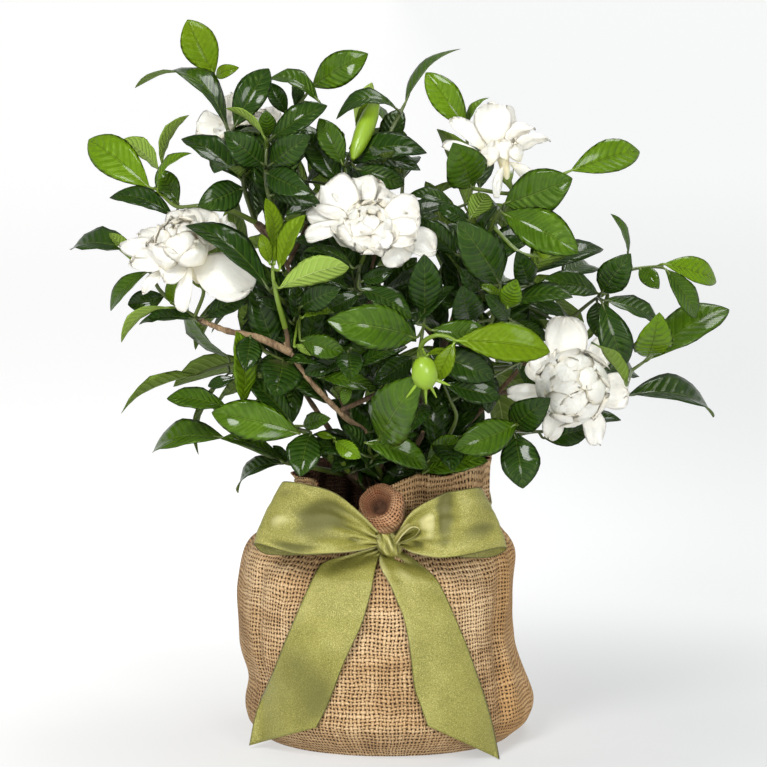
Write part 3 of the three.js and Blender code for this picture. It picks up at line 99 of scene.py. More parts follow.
# Leafy shoots as they are seen. A stem's row: x, z, layer. A leaf's row: the x and z of its root and of its
# tip, its seen width, the layer of its root, its arch in hundredths of its length, then its age from 0 to 3
# where it isn't 0, and -1 where its underside shows.
SHOOTS = {
    "shoot_top_left": {"stem": [
        (-88, 345, 80), (-95, 366, 55), (-98, 385, 40), (-106, 405, 30), (-109, 418, 28), (-113, 434, 26),
    ], "leaves": [
        (-107, 407, -166, 440, 11, 30, 24), (-96, 371, -136, 403, 17, 30, 6),
        (-96, 367, -125, 355, 20, 22, 10), (-102, 407, -79, 447, 21, 12, 8),
    ]},
    "young_leaves_top_left": {"after": "shoot_top_left", "stem": [
        (-114, 438, 26), (-116, 444, 26),
    ], "leaves": [
        (-115, 442, -133, 479, 24, 26, 6, 3), (-114, 441, -99, 447, 9, 24, 20, 3),
    ]},
    "shoot_upper_left": {"stem": [
        (-88, 344, 62), (-105, 352, 44), (-121, 355, 30), (-139, 354, 26), (-148, 360, 26), (-155, 367, 26),
    ], "leaves": [
        (-158, 367, -200, 400, 26, 22, 6, 2), (-152, 378, -176, 399, 14, 40, 8, 2, -1),
        (-150, 381, -133, 416, 8, 44, 14, 2, -1), (-153, 364, -132, 391, 6, 18, 16, 2),
        (-139, 356, -153, 379, 15, 34, 6, 1), (-142, 347, -185, 361, 13, 20, 16),
    ]},
    "shoot_crown_left": {"stem": [
        (-55, 345, 95), (-60, 375, 80), (-61, 399, 72), (-64, 414, 66), (-56, 426, 62),
    ], "leaves": [
        (-45, 423, -80, 439, 12, 48, 24, 1), (-67, 416, -79, 437, 12, 66, 5),
        (-61, 419, -60, 440, 9, 70, 5), (-50, 434, -14, 456, 22, 56, 8, 1), (-31, 369, -55, 405, 20, 62, 5),
    ]},
    "shoot_over_left_bloom": {"stem": [
        (-70, 338, 62), (-79, 362, 40), (-81, 380, 30), (-80, 396, 26),
    ], "leaves": [
        (-81, 399, -107, 421, 7, 14, 10, 2, -1), (-80, 400, -81, 418, 12, 30, 5, 1),
        (-78, 399, -41, 423, 17, 18, 8), (-82, 382, -107, 403, 21, 12, 8), (-78, 382, -53, 401, 20, 8, 6),
        (-81, 377, -53, 364, 19, 10, 8), (-79, 362, -44, 357, 13, 12, 8),
    ]},
    "shoot_crown_middle": {"stem": [
        (-22, 335, 100), (-28, 362, 78), (-28, 380, 62), (-24, 392, 56),
    ], "leaves": [
        (-27, 381, 26, 393, 18, 44, 20), (-21, 380, 12, 369, 15, 30, 8), (-20, 384, 22, 381, 12, 60, 8),
        (-29, 382, -45, 413, 17, 40, 5, 1), (-26, 366, -18, 352, 8, 44, 8, 2),
    ]},
    "young_shoot_crown": {"after": "shoot_crown_middle", "stem": [
        (-23, 394, 54), (-20, 402, 52),
    ], "leaves": [
        (-20, 400, -6, 428, 11, 50, 6, 3), (-18, 402, -11, 437, 14, 62, 5, 3, -1),
    ], "bud": {"stalk": ((-24, 390, 50), (-23, 386, 42), (-22, 388, 36)),
               "tip": (-6, 428, 36), "wide": 12, "lobes": ()}},
    "shoot_crown_slender": {"stem": [
        (-4, 340, 90), (-3, 372, 70), (1, 400, 52), (9, 417, 46), (12, 423, 44),
    ], "leaves": [
        (12, 423, 48, 461, 6, 44, 10, 1), (8, 418, -34, 414, 11, 36, 30),
    ]},
    "shoot_top_right": {"stem": [
        (58, 335, 74), (57, 352, 60), (55, 369, 50), (54, 388, 44), (53, 404, 42),
    ], "leaves": [
        (53, 406, 26, 444, 20, 40, 6, 2), (53, 406, 67, 428, 5, 46, 12, 2),
        (56, 367, 45, 395, 28, 34, 5, 1), (55, 345, 34, 355, 11, 48, 8),
        (55, 346, 67, 364, 16, 44, 5, 1, -1), (44, 353, 15, 363, 9, 54, 14),
    ]},
    "shoot_upper_right": {"stem": [
        (60, 322, 78), (68, 338, 58), (76, 352, 44), (92, 365, 40), (106, 372, 38), (120, 377, 36),
    ], "leaves": [
        (78, 356, 123, 373, 29, 26, 6, 1), (122, 378, 170, 393, 22, 34, 6, 2),
        (77, 350, 127, 324, 27, 20, 6, 1),
    ], "bud": {"stalk": ((70, 342, 56), (88, 324, 42), (104, 321, 34)),
               "tip": (112, 347, 30), "wide": 16, "lobes": ()}},
    "shoot_middle_right": {"stem": [(60, 262, 66), (70, 279, 52), (75, 299, 44), (74, 312, 42)], "leaves": [
        (47, 322, 22, 346, 15, 40, 6), (75, 303, 49, 343, 28, 24, 6), (78, 291, 61, 302, 6, 30, 12, 2),
        (80, 287, 86, 305, 15, 16, 5, 2), (56, 277, 50, 300, 22, 44, 5), (62, 298, 50, 312, 13, 34, 5),
        (82, 279, 67, 295, 13, 30, 5), (95, 302, 88, 322, 16, 58, 5),
    ]},
    "shoot_right": {"stem": [
        (98, 262, 84), (112, 272, 66), (124, 281, 56), (135, 290, 50), (142, 295, 46),
    ], "leaves": [
        (141, 296, 102, 304, 16, 36, 16), (143, 297, 161, 321, 21, 30, 6), (144, 292, 183, 278, 12, 24, 8),
        (143, 291, 158, 245, 22, 16, 10), (140, 291, 141, 268, 17, 40, 6), (88, 291, 119, 281, 10, 50, 8),
        (84, 278, 107, 265, 9, 48, 8),
    ]},
    "shoot_right_outer": {"after": "shoot_right", "stem": [
        (143, 296, 46), (150, 303, 52), (162, 312, 50), (184, 315, 44),
    ], "leaves": [
        (161, 321, 151, 350, 6, 54, 5, 1), (168, 313, 181, 300, 12, 30, 8, 1),
        (184, 316, 221, 305, 17, 34, 8, 2), (185, 313, 207, 280, 16, 26, 8, 1),
    ]},
    "shoot_right_low": {"stem": [
        (100, 232, 88), (125, 232, 70), (148, 235, 56), (163, 245, 48), (173, 252, 44),
    ], "leaves": [
        (174, 252, 228, 288, 24, 38, 6, 1), (174, 254, 182, 279, 25, 34, 5, 2),
        (160, 235, 138, 266, 10, 0, 4, 1, -1), (161, 229, 220, 218, 15, 30, 10),
    ]},
    "shoot_under_right_bloom": {"stem": [
        (66, 190, 74), (82, 200, 52), (96, 204, 44), (112, 204, 42),
    ], "leaves": [
        (104, 200, 137, 208, 17, 30, 6), (118, 206, 156, 214, 9, 44, 6), (85, 204, 91, 167, 26, 14, 6),
        (83, 207, 106, 224, 22, 22, 6), (87, 209, 46, 193, 23, 8, 6, 1),
    ]},
    "shoot_left": {"stem": [
        (-126, 279, 44), (-138, 287, 42), (-151, 298, 40), (-159, 312, 38), (-168, 322, 36),
    ], "leaves": [
        (-168, 325, -212, 329, 15, 34, 8), (-170, 318, -185, 337, 10, 44, 6, 2, -1),
        (-159, 311, -185, 285, 11, 26, 10, 1), (-148, 295, -173, 289, 15, 40, 6),
        (-144, 290, -143, 308, 10, 24, 5, 2), (-145, 287, -178, 265, 9, 22, 18, 2, -1),
        (-127, 279, -166, 277, 8, 34, 8), (-122, 280, -89, 295, 14, 34, 8),
    ]},
    "shoot_front_of_left_bloom": {"stem": [(-62, 286, 60), (-70, 292, 34), (-78, 298, 16)], "leaves": [
        (-79, 299, -131, 346, 17, -2, 10), (-75, 303, -97, 318, 5, 14, 10, 1),
    ]},
    "young_shoot_left": {"stem": [(-68, 274, 22), (-73, 292, 8), (-76, 308, 4), (-76, 320, 4)], "leaves": [
        (-75, 324, -79, 360, 12, 2, 4, 3), (-78, 316, -84, 336, 9, 0, 6, 3),
        (-75, 316, -71, 332, 5, 0, 6, 3), (-72, 312, -57, 349, 13, -4, 4, 3),
        (-72, 300, -25, 316, 20, -8, 8, 2, -1),
    ]},
    "shoot_inner_left": {"stem": [(-60, 258, 62), (-61, 270, 48), (-58, 284, 40)], "leaves": [
        (-24, 298, -45, 307, 7, 40, 6), (-58, 287, -33, 299, 17, 20, 6), (-62, 278, -60, 304, 11, 36, 5),
        (-57, 280, -36, 285, 6, 24, 10, 2), (-58, 266, -28, 257, 16, 20, 8, 1),
        (-62, 262, -47, 256, 7, 16, 8, 2, -1),
    ]},
    "shoot_left_of_fork": {"stem": [
        (-66, 244, 56), (-76, 254, 38), (-90, 262, 24), (-98, 252, 22), (-102, 240, 22),
    ], "leaves": [
        (-91, 268, -94, 246, 17, 14, 6), (-70, 253, -86, 245, 13, 30, 6), (-70, 252, -75, 228, 28, 16, 6),
        (-101, 240, -120, 235, 8, 20, 6),
    ]},
    "shoot_low_left": {"stem": [
        (-24, 186, 58), (-38, 194, 40), (-51, 201, 26), (-63, 208, 20), (-83, 214, 18), (-101, 219, 18),
    ], "leaves": [
        (-58, 203, -117, 217, 26, 4, 8, 1), (-51, 204, -58, 175, 23, 10, 6),
        (-63, 209, -93, 240, 16, 18, 6), (-56, 208, -38, 213, 11, 12, 12, 1),
        (-106, 220, -147, 227, 14, 16, 8, 1), (-96, 222, -97, 270, 17, 10, 4, 2),
    ]},
    "shoot_lowest_left": {"stem": [
        (-30, 176, 54), (-48, 180, 36), (-69, 184, 24), (-88, 192, 22), (-106, 199, 22),
    ], "leaves": [
        (-69, 184, -110, 201, 8, 12, 6, 1), (-69, 183, -101, 165, 8, 14, 16),
        (-66, 184, -76, 195, 6, 24, 5), (-108, 200, -159, 194, 16, 18, 10, 1),
    ]},
    "shoot_middle": {"stem": [
        (28, 214, 62), (24, 230, 46), (21, 250, 34), (23, 266, 30), (25, 280, 30),
    ], "leaves": [
        (20, 267, -37, 278, 29, 6, 10, 1), (25, 283, 25, 321, 22, 30, 5), (20, 276, 43, 302, 11, 30, 6),
        (29, 272, 71, 269, 17, 20, 6, 1), (26, 258, 72, 240, 22, 26, 6), (17, 254, -8, 237, 17, 26, 6),
    ]},
    "shoot_middle_low": {"stem": [
        (-30, 228, 52), (-28, 240, 40), (-26, 252, 34), (-24, 260, 32),
    ], "leaves": [
        (-26, 258, -24, 239, 18, 16, 6), (-46, 241, -7, 233, 11, 20, 6, 1),
        (-25, 238, -29, 222, 8, 20, 6, 1), (-29, 252, -56, 243, 12, 26, 6),
    ]},
    "young_shoot_middle": {"stem": [
        (21, 246, 8), (23, 262, 0), (31, 268, -8), (39, 268, -10), (46, 265, -12),
    ], "leaves": [
        (46, 265, 109, 258, 25, -12, 5, 3), (45, 264, 31, 237, 13, -10, 8, 3),
        (26, 255, 41, 258, 4, -6, 10, 3),
    ], "bud": {"stalk": ((22, 258, 2), (22, 258, -16), (24, 253, -34)),
               "tip": (26, 232, -36), "wide": 17, "lobes": ((13, 227), (26, 223), (33, 227), (42, 235))}},
    "shoot_under_middle_bloom": {"stem": [
        (-19, 286, 66), (-21, 298, 52), (-19, 310, 46), (-17, 318, 44),
    ], "leaves": [
        (-19, 300, 17, 280, 16, 26, 8), (-18, 304, 4, 313, 11, 34, 6), (-22, 313, -55, 327, 7, 24, 10),
        (-17, 297, -44, 284, 14, 34, 6),
    ]},
    "shoot_low_middle": {"stem": [(-2, 172, 52), (-8, 184, 32), (-12, 193, 22), (-8, 197, 16)], "leaves": [
        (-5, 199, 18, 238, 32, 0, 8, 1), (-15, 197, 28, 181, 18, 6, 8, 1), (-13, 180, -28, 209, 10, 20, 6),
    ]},
    "shoot_low_right": {"stem": [(26, 178, 58), (34, 190, 40), (46, 212, 32), (42, 226, 30)], "leaves": [
        (38, 236, 76, 227, 16, 22, 8), (24, 177, 66, 187, 15, 16, 8, 1), (27, 184, 47, 201, 13, 20, 6, 1),
        (86, 249, 106, 227, 13, 40, 6),
    ]},
    "young_shoot_low": {"stem": [(-26, 178, 34), (-33, 190, 22), (-36, 198, 18)], "leaves": [
        (-35, 198, -18, 187, 12, 10, 6, 2), (-35, 200, -47, 203, 5, 12, 10, 2),
    ]},
}
BOUGHS = [
    [
        (0, 112, 0), (0, 140, 0), (-3, 165, -8), (-11, 199, -50), (-28, 214, -80), (-45, 231, -94),
        (-58, 247, -99), (-68, 264, -98),
    ],
    [(-64, 257, -99), (-86, 267, -96), (-105, 271, -90), (-116, 275, -86), (-123, 278, -83)],
    [(0, 138, 0), (-22, 205, -8), (-45, 262, -28), (-62, 305, -44), (-76, 333, -56)],
    [(0, 138, 0), (2, 210, 8), (-4, 270, -22), (-12, 318, -58)],
    [(0, 138, 0), (22, 215, 0), (44, 280, -46), (54, 312, -70)],
    [(0, 138, 0), (30, 185, -8), (66, 222, -30), (92, 250, -46)],
    [(0, 138, 0), (22, 163, -22), (42, 178, -30), (62, 187, -28)],
    [(0, 138, 0), (-10, 158, -20), (-22, 174, -36)],
    [(0, 150, -2), (12, 178, -32), (24, 204, -62)],
]
BACK_BOUGHS = [(12, 62, 232), (55, 60, 262), (92, 58, 236), (128, 62, 266), (168, 62, 236)]
BACK_SHOOTS = [
    (10, -20), (52, -22), (90, -20), (134, -22), (174, -18), (30, 14), (76, 14), (112, 16), (152, 14),
    (48, 46), (124, 46), (84, 72),
]
BACK_CROWN = {"x": 5, "z": 272, "wide": 168, "deep": 145, "up": 150, "down": 112}
INNER_SHOOTS = [(-16, 26), (-170, 26)]
BLOOMS = {
    "bloom_left": {"carrier": "shoot_left", "centre": (-131, 316, 14), "axis": (-0.3, -0.5, 0.8),
        "heart": 17, "petals": [
        (-130, 317, -90, 299, 30, 4, 10, 1), (-131, 315, -137, 284, 10, 10, 14, 1),
        (-148, 312, -163, 297, 8, 4, 4, 1), (-138, 317, -171, 317, 15, 4, 2, 1),
        (-142, 321, -178, 328, 13, 0, -4, 1), (-138, 323, -165, 336, 15, -4, -10, 1),
        (-135, 324, -150, 342, 17, -6, -12, 1), (-133, 324, -135, 352, 23, -6, -16, 1),
        (-129, 324, -118, 352, 20, -8, -22, 1), (-127, 322, -106, 345, 20, -8, -24, 1),
        (-131, 316, -128, 335, 27, 4, 16, -1), (-133, 315, -149, 305, 14, 8, 12, 1),
    ]},
    "bloom_middle": {"carrier": "shoot_under_middle_bloom", "centre": (-14, 341, 22),
        "axis": (0.05, -0.62, 0.78), "heart": 18, "petals": [
        (-20, 346, -44, 366, 29, 0, -8, 1), (-17, 348, -24, 372, 27, -6, -16, 1),
        (-11, 348, -6, 372, 16, -6, -18, 1), (-7, 347, 10, 358, 20, -4, -10, 1),
        (-5, 345, 22, 349, 26, 0, 0, 1), (-5, 340, 19, 332, 20, 4, 10, 1), (4, 334, 33, 325, 18, 2, 0, 1),
        (-1, 333, 12, 317, 22, 4, 6, 1), (-14, 339, -22, 327, 27, 6, 18, 1),
        (-10, 339, -2, 324, 18, 6, 18, 1), (-23, 342, -54, 333, 11, 4, 8, 1),
        (-22, 345, -53, 347, 14, 0, 2, 1),
    ]},
    "bloom_right": {"carrier": "shoot_under_right_bloom", "centre": (124, 234, 12),
        "axis": (0.08, -0.98, 0.12), "heart": 24, "petals": [
        (121, 240, 119, 281, 25, -6, -8, 1), (131, 242, 150, 270, 16, -6, -4, 1),
        (135, 234, 161, 231, 22, -6, -8, 1), (132, 226, 141, 196, 14, -6, -8, 1),
        (116, 226, 107, 200, 13, -6, -8, 1), (116, 236, 95, 252, 18, -6, -10, 1),
        (112, 230, 81, 229, 13, -8, -14, 1),
    ]},
    "bloom_top_right": {"carrier": "shoot_top_right", "centre": (77, 388, 22), "axis": (-0.2, -0.1, 0.97),
        "heart": 15, "petals": [
        (75, 389, 67, 423, 22, 2, 8, -1), (77, 390, 79, 421, 20, -2, -6, -1),
        (79, 389, 96, 407, 19, 0, -4, -1), (80, 388, 107, 400, 15, 2, -2, -1),
        (74, 387, 58, 376, 15, 6, 12, -1), (81, 384, 102, 365, 11, 6, 12, -1),
        (78, 382, 73, 360, 7, 6, 10, -1), (66, 390, 43, 413, 11, -4, -8, 1),
        (62, 390, 37, 395, 8, -4, -8, 1),
    ]},
    "bloom_top_left": {"carrier": "shoot_top_left", "centre": (-96, 405, 62), "axis": (-0.35, 0.35, 0.87),
        "heart": 16, "petals": [
        (-100, 403, -127, 407, 20, 0, 0, 1), (-99, 401, -124, 394, 16, 2, 4, 1),
        (-94, 408, -84, 432, 20, -2, -8, 1), (-98, 409, -104, 430, 18, -4, -10, 1),
        (-92, 404, -70, 414, 18, -6, -12, 1), (-95, 401, -88, 384, 14, 5, 16, 1),
    ]},
}
SACK_OUTLINE = [
    (0, SACK["base"], SACK["base"], SACK["base"]),
    (5, 92, 93, 92), (20, 97, 100, 98), (40, 93, 93, 99), (58, 99, 86, 99), (77, 100.5, 84, 98),
    (98, 100.5, 86, 96), (120, 98, 88, 88), (127, 96, 87, 81), (134, 90, 83, 70), (141, 76, 74, 66),
    (150, 66, 69, 65), (180, 57, 69, 61),
]
LOOPS = {
    "ribbon_loop_left": [
        (-7.2, 138, -7.2, 128, -84), (-18, 150, -20, 125, -92), (-34, 163, -37, 123, -99),
        (-52, 169, -60, 122, -100), (-66, 171, -84, 129, -90), (-70, 170, -88, 128, -82),
        (-64, 167, -78, 122, -77), (-40, 158, -45, 123, -79), (-18, 146, -20, 132, -79),
        (-7.2, 138, -7.2, 130, -79),
    ],
    "ribbon_loop_right": [
        (9, 138, 9, 128, -84), (18, 152, 20, 123, -92), (36, 162, 38, 120, -99), (52, 166, 58, 123, -99),
        (60, 167, 75, 127, -90), (63, 166, 79, 125, -82), (56, 164, 66, 120, -77), (38, 157, 40, 122, -79),
        (18, 146, 20, 132, -79), (9, 138, 9, 130, -79),
    ],
}
TAILS = {
    "ribbon_tail_left": [
        (-5, 128, -2, 125), (-12, 126, -3, 122), (-26, 122, -6, 119), (-40, 118, -8, 111),
        (-46, 113, -10, 100), (-54, 97, -13, 88), (-61, 81, -17, 75), (-69, 62, -23, 62),
        (-76, 44, -29, 49), (-87, 18, -39, 23), (-92, -5, -47, 7),
    ],
    "ribbon_tail_right": [
        (-3, 124, 3, 128), (-5, 120, 9, 125), (-4, 113, 21, 117), (2, 102, 32, 107), (7, 90, 38, 97),
        (11, 80, 43, 86), (14, 66, 49, 72), (16, 52, 55, 57), (18, 34, 66, 25), (22, 22, 71, 6),
        (27, 8, 75, -14),
    ],
}
UP = np.array((0.0, 0.0, 1.0))
VIEWER = np.array((0.0, -1.0, 0.0))


def vec(*values):
    return np.array(values, float)


def norm(v):
    return float(np.sqrt(v @ v))


def unit(v):
    return v / norm(v)


def lerp(a, b, share):
    return a + (b - a) * share


def clamp(value, low, high):
    return max(low, min(high, value))


def smooth(value, low, high):
    t = np.clip((value - low) / (high - low), 0, 1)
    return t * t * (3 - 2 * t)


def turned(v, axis, angle):
    """A vector turned about an axis of length 1."""
    cos, sin = math.cos(angle), math.sin(angle)
    return v * cos + np.cross(axis, v) * sin + axis * (axis @ v) * (1 - cos)


def circle(count):
    """Angles spaced evenly round a turn."""
    return 2 * math.pi * np.arange(count) / count


def around(r, angle, z):
    """The points at angles round the pot's axis, at a distance and a height."""
    return np.stack([r * np.cos(angle), r * np.sin(angle), z * np.ones_like(angle)], 1)


def random_from(seed):
    """Repeatable random numbers from 0 to 1."""
    state = seed

    def step():
        nonlocal state
        state = (state + 0x6D2B79F5) & 0xFFFFFFFF
        t = state
        t = ((t ^ (t >> 15)) * (t | 1)) & 0xFFFFFFFF
        t ^= (t + (((t ^ (t >> 7)) * (t | 61)) & 0xFFFFFFFF)) & 0xFFFFFFFF
        return ((t ^ (t >> 14)) & 0xFFFFFFFF) / 4294967296

    return step


# Where things lie
COS, SIN = math.cos(EYE["tilt"]), math.sin(EYE["tilt"])
EYE_POINT = vec(0, -EYE["distance"] * COS, EYE["height"] + EYE["distance"] * SIN)


def seen(x, z, y):
    """The point that appears at x, z when it lies at depth y."""
    rise = z - EYE["height"]
    ray = vec(x, EYE["distance"] * COS + rise * SIN, rise * COS - EYE["distance"] * SIN)
    return EYE_POINT + ray * ((y - EYE_POINT[1]) / ray[1])


def crown_front(x, z):
    tall = CROWN["up"] if z > CROWN["z"] else CROWN["down"]
    off = ((x - CROWN["x"]) / CROWN["wide"]) ** 2 + ((z - CROWN["z"]) / tall) ** 2
    return -CROWN["deep"] * math.sqrt(max(0, 1 - off))


def behind_front(x, z, layer):
    return seen(x, z, crown_front(x, z) + layer)


# How a blade's width rises and falls along it, and the peak of that curve. ROUNDED is a petal as it is drawn
OUTLINE = {"leaf": (1.05, 0.85, 0.2708), "petal": (0.75, 0.32, 0.5206)}
ROUNDED = (0.8, 0.45, 0.4418)


class Blade:
    """A leaf or a petal from its root to its tip, with the face that it turns up."""

    def __init__(self, kind, root, tip, face, width, **shape):
        self.kind, self.width, self.normal = kind, width, face
        self.moved = [0.0, 0.0]
        self.age, self.stalk, self.fixed = 0, None, False
        self.__dict__.update(shape)
        self.lie(root, tip)

    def lie(self, root, tip):
        self.root, self.tip = root, tip
        along = tip - root
        self.length = norm(along)
        along = along / self.length
        self.normal = unit(self.normal - along * (self.normal @ along))
        self.side = np.cross(along, self.normal)

    def samples(self):
        rise, fall, peak = OUTLINE[self.kind]
        half = self.width / 2 * STATION_U**rise * (1 - STATION_U) ** fall / peak
        lift = self.arch * self.length * 4 * STATION_U * (1 - STATION_U)
        lift = lift + self.fold * half * np.abs(STATION_V)
        points = self.root + (self.tip - self.root) * STATION_U[:, None]
        return points + self.normal * lift[:, None] + self.side * (half * STATION_V)[:, None]


STATION_U = np.repeat((0.1, 0.22, 0.34, 0.46, 0.58, 0.7, 0.82, 0.93, 1.0), 5)
STATION_V = np.tile((-0.95, -0.5, 0.0, 0.5, 0.95), 9)


def nearest_on(points, place):
    best = None
    for a, b in zip(points, points[1:]):
        span = b - a
        found = a + span * clamp(((place - a) @ span) / (span @ span), 0, 1)
        if best is None or norm(found - place) < norm(best - place):
            best = found
    return best


def rooted_on(points, place):
    """Where a stalk is rooted: on the stem's line, well inside its ends."""
    found = nearest_on(points, place)
    for end, inner in ((points[-1], points[-2]), (points[0], points[1])):
        if norm(found - end) < 2:
            return lerp(end, inner, 2 / norm(inner - end))
    return found


def leaf_seen(random, rx, rz, tx, tz, width, layer, arch, age=0, showing=1):
    """A leaf given as it is seen. Its tip comes forward by what makes up its true length."""
    flat = math.hypot(tx - rx, tz - rz)
    root_depth = crown_front(rx, rz) + layer
    grown = max(flat, width / LEAF_RATIO)
    foreshortened = math.sqrt(grown**2 - flat**2)
    along = 0.6 * (crown_front(tx, tz) - crown_front(rx, rz))
    root = seen(rx, rz, root_depth)
    tip = seen(tx, tz, root_depth + along - max(0.14 * flat, 0.85 * foreshortened))
    axis = unit(tip - root)
    towards = unit(VIEWER - axis * (VIEWER @ axis))
    upward = np.cross(axis, towards)
    if upward[2] + 0.2 * upward[0] < 0:
        upward = -upward
    narrow = clamp(width / (LEAF_RATIO * norm(tip - root)), 0.25, 1)
    turn = math.acos(narrow)
    face = towards * showing * math.cos(turn) + upward * (math.sin(turn) + 0.15)
    fold = 0.16 + 0.16 * random()
    return Blade("leaf", root, tip, face, width / narrow, arch=arch / 100, fold=fold, age=age)


def crown_shoot(direction, rise, reach, seed):
    """A shoot at the back or a side: a stem that curves up and out, and its leaves in crossed pairs."""
    random = random_from(seed)
    turn = math.radians(direction + 8 * (random() - 0.5))
    lift = math.radians(rise)
    tall = BACK_CROWN["up"] if rise > 0 else BACK_CROWN["down"]

    def surface(part, drop):
        share = part * reach
        x = BACK_CROWN["x"] + share * BACK_CROWN["wide"] * math.cos(lift) * math.cos(turn)
        y = share * BACK_CROWN["deep"] * math.cos(lift) * math.sin(turn)
        return vec(x, y, BACK_CROWN["z"] + share * tall * math.sin(lift) - drop)

    points = [surface(0.4, 12), surface(0.54, 5), surface(0.68, 0), surface(0.8, 1)]
    stations = ((0.2, 2), (0.6, 2), (1, 2)) if reach < 1 else ((0.3, 2), (0.66, 2), (1, 1))
    axis = unit(points[3] - points[0])
    level = unit(np.cross(axis, UP))
    leaves = []
    for ring, (share, count) in enumerate(stations):
        at = min(2.999, share * 3)
        start = lerp(points[int(at)], points[int(at) + 1], at % 1)
        for i in range(count):
            spin = math.pi * i + (math.pi / 2) * ring + 0.6 * (random() - 0.5)
            opened = 0.62 if share == 1 else 1.02
            along = axis * math.cos(opened) + turned(level, axis, spin) * math.sin(opened)
            along[2] -= 0.12
            along = unit(along)
            length = 50 + 15 * random()
            root = start + along * 6
            face = axis + UP * 0.7 - along * 0.2
            shape = {"arch": 0.06 + 0.06 * random(), "fold": 0.18 + 0.14 * random()}
            shape["age"] = 1 if random() < 0.25 else 0
            leaves.append(Blade("leaf", root, root + along * length, face, 0.46 * length, **shape))
    return points, leaves


def petals_of(plan, seed):
    random = random_from(seed)
    x, z, layer = plan["centre"]
    depth = crown_front(x, z) + layer
    centre = seen(x, z, depth)
    axis = unit(vec(*plan["axis"]))
    petals = []
    for rx, rz, tx, tz, width, root_out, tip_out, faces in plan["petals"]:
        root, tip = seen(rx, rz, depth - root_out), seen(tx, tz, depth - tip_out)
        face = axis + VIEWER * faces
        petals.append(Blade("petal", root, tip, face, width, arch=0.04 + 0.06 * random(), fold=0.22))
    side = unit(np.cross(axis, vec(0.2, 0.9, 0.4)))
    heart = plan["heart"]
    for i in range(WHORL["count"]):
        turn = 2 * math.pi * (i + 0.25 * random()) / WHORL["count"]
        tilt = math.radians(WHORL["open"] + 10 * (random() - 0.5))
        out = turned(side, axis, turn)
        along = axis * math.cos(tilt) + out * math.sin(tilt)
        inward = axis * math.sin(tilt) - out * math.cos(tilt)
        root = centre + out * 2 + along * 0.2 * heart
        tip = centre + along * heart
        petals.append(Blade("petal", root, tip, inward, 0.9 * heart, arch=-0.12, fold=0.3, inner=True))
    return {"centre": centre, "axis": axis, "side": side, "petals": petals, "heart": heart,
            "foot": centre - axis * TUBE["length"], "carrier": plan["carrier"]}


def looked(point):
    """Where a point is seen: the other way round from seen."""
    ray = point - EYE_POINT
    near = EYE["distance"] / (ray[1] * COS - ray[2] * SIN)
    return ray[0] * near, EYE["height"] + (ray[1] * SIN + ray[2] * COS) * near


def filling(lines):
    """Dark leaves in pairs along the wood, where the crown is dense."""
    random = random_from(SEEDS["filling"])
    leaves = []
    for points in lines:
        long = sum(norm(b - a) for a, b in zip(points, points[1:]))
        run = curve_through(points, max(4, int(long / FILL["step"])))
        for k in range(1, len(run) - 1):
            axis = unit(run[k + 1] - run[k - 1])
            level = unit(np.cross(axis, vec(0.2, -0.5, 0.85)))
            spin = 1.57 * (k % 2) + 1.2 * random()
            for half_turn in (0, math.pi):
                opened = 0.7 + 0.5 * random()
                along = axis * math.cos(opened) + turned(level, axis, spin + half_turn) * math.sin(opened)
                length = lerp(FILL["short"], FILL["long"], random())
                x, z = looked(run[k] + along * 0.6 * length)
                within = any(((x - a) / c) ** 2 + ((z - b) / d) ** 2 < 1 for a, b, c, d in FILL["dense"])
                if not within or (run[k] + along * length)[1] < FILL["front"]:
                    continue
                root = run[k] + along * 5
                leaves.append(Blade("leaf", root, root + along * length, vec(0, -0.6, 0.8) + axis * 0.3,
                                    0.45 * length, arch=0.08, fold=0.2 + 0.1 * random(), stalk=run[k],
                                    owner="woody_stems"))
    return leaves


def slid(point, move):
    return lerp(EYE_POINT, point, (point[1] + move - EYE_POINT[1]) / (point[1] - EYE_POINT[1]))


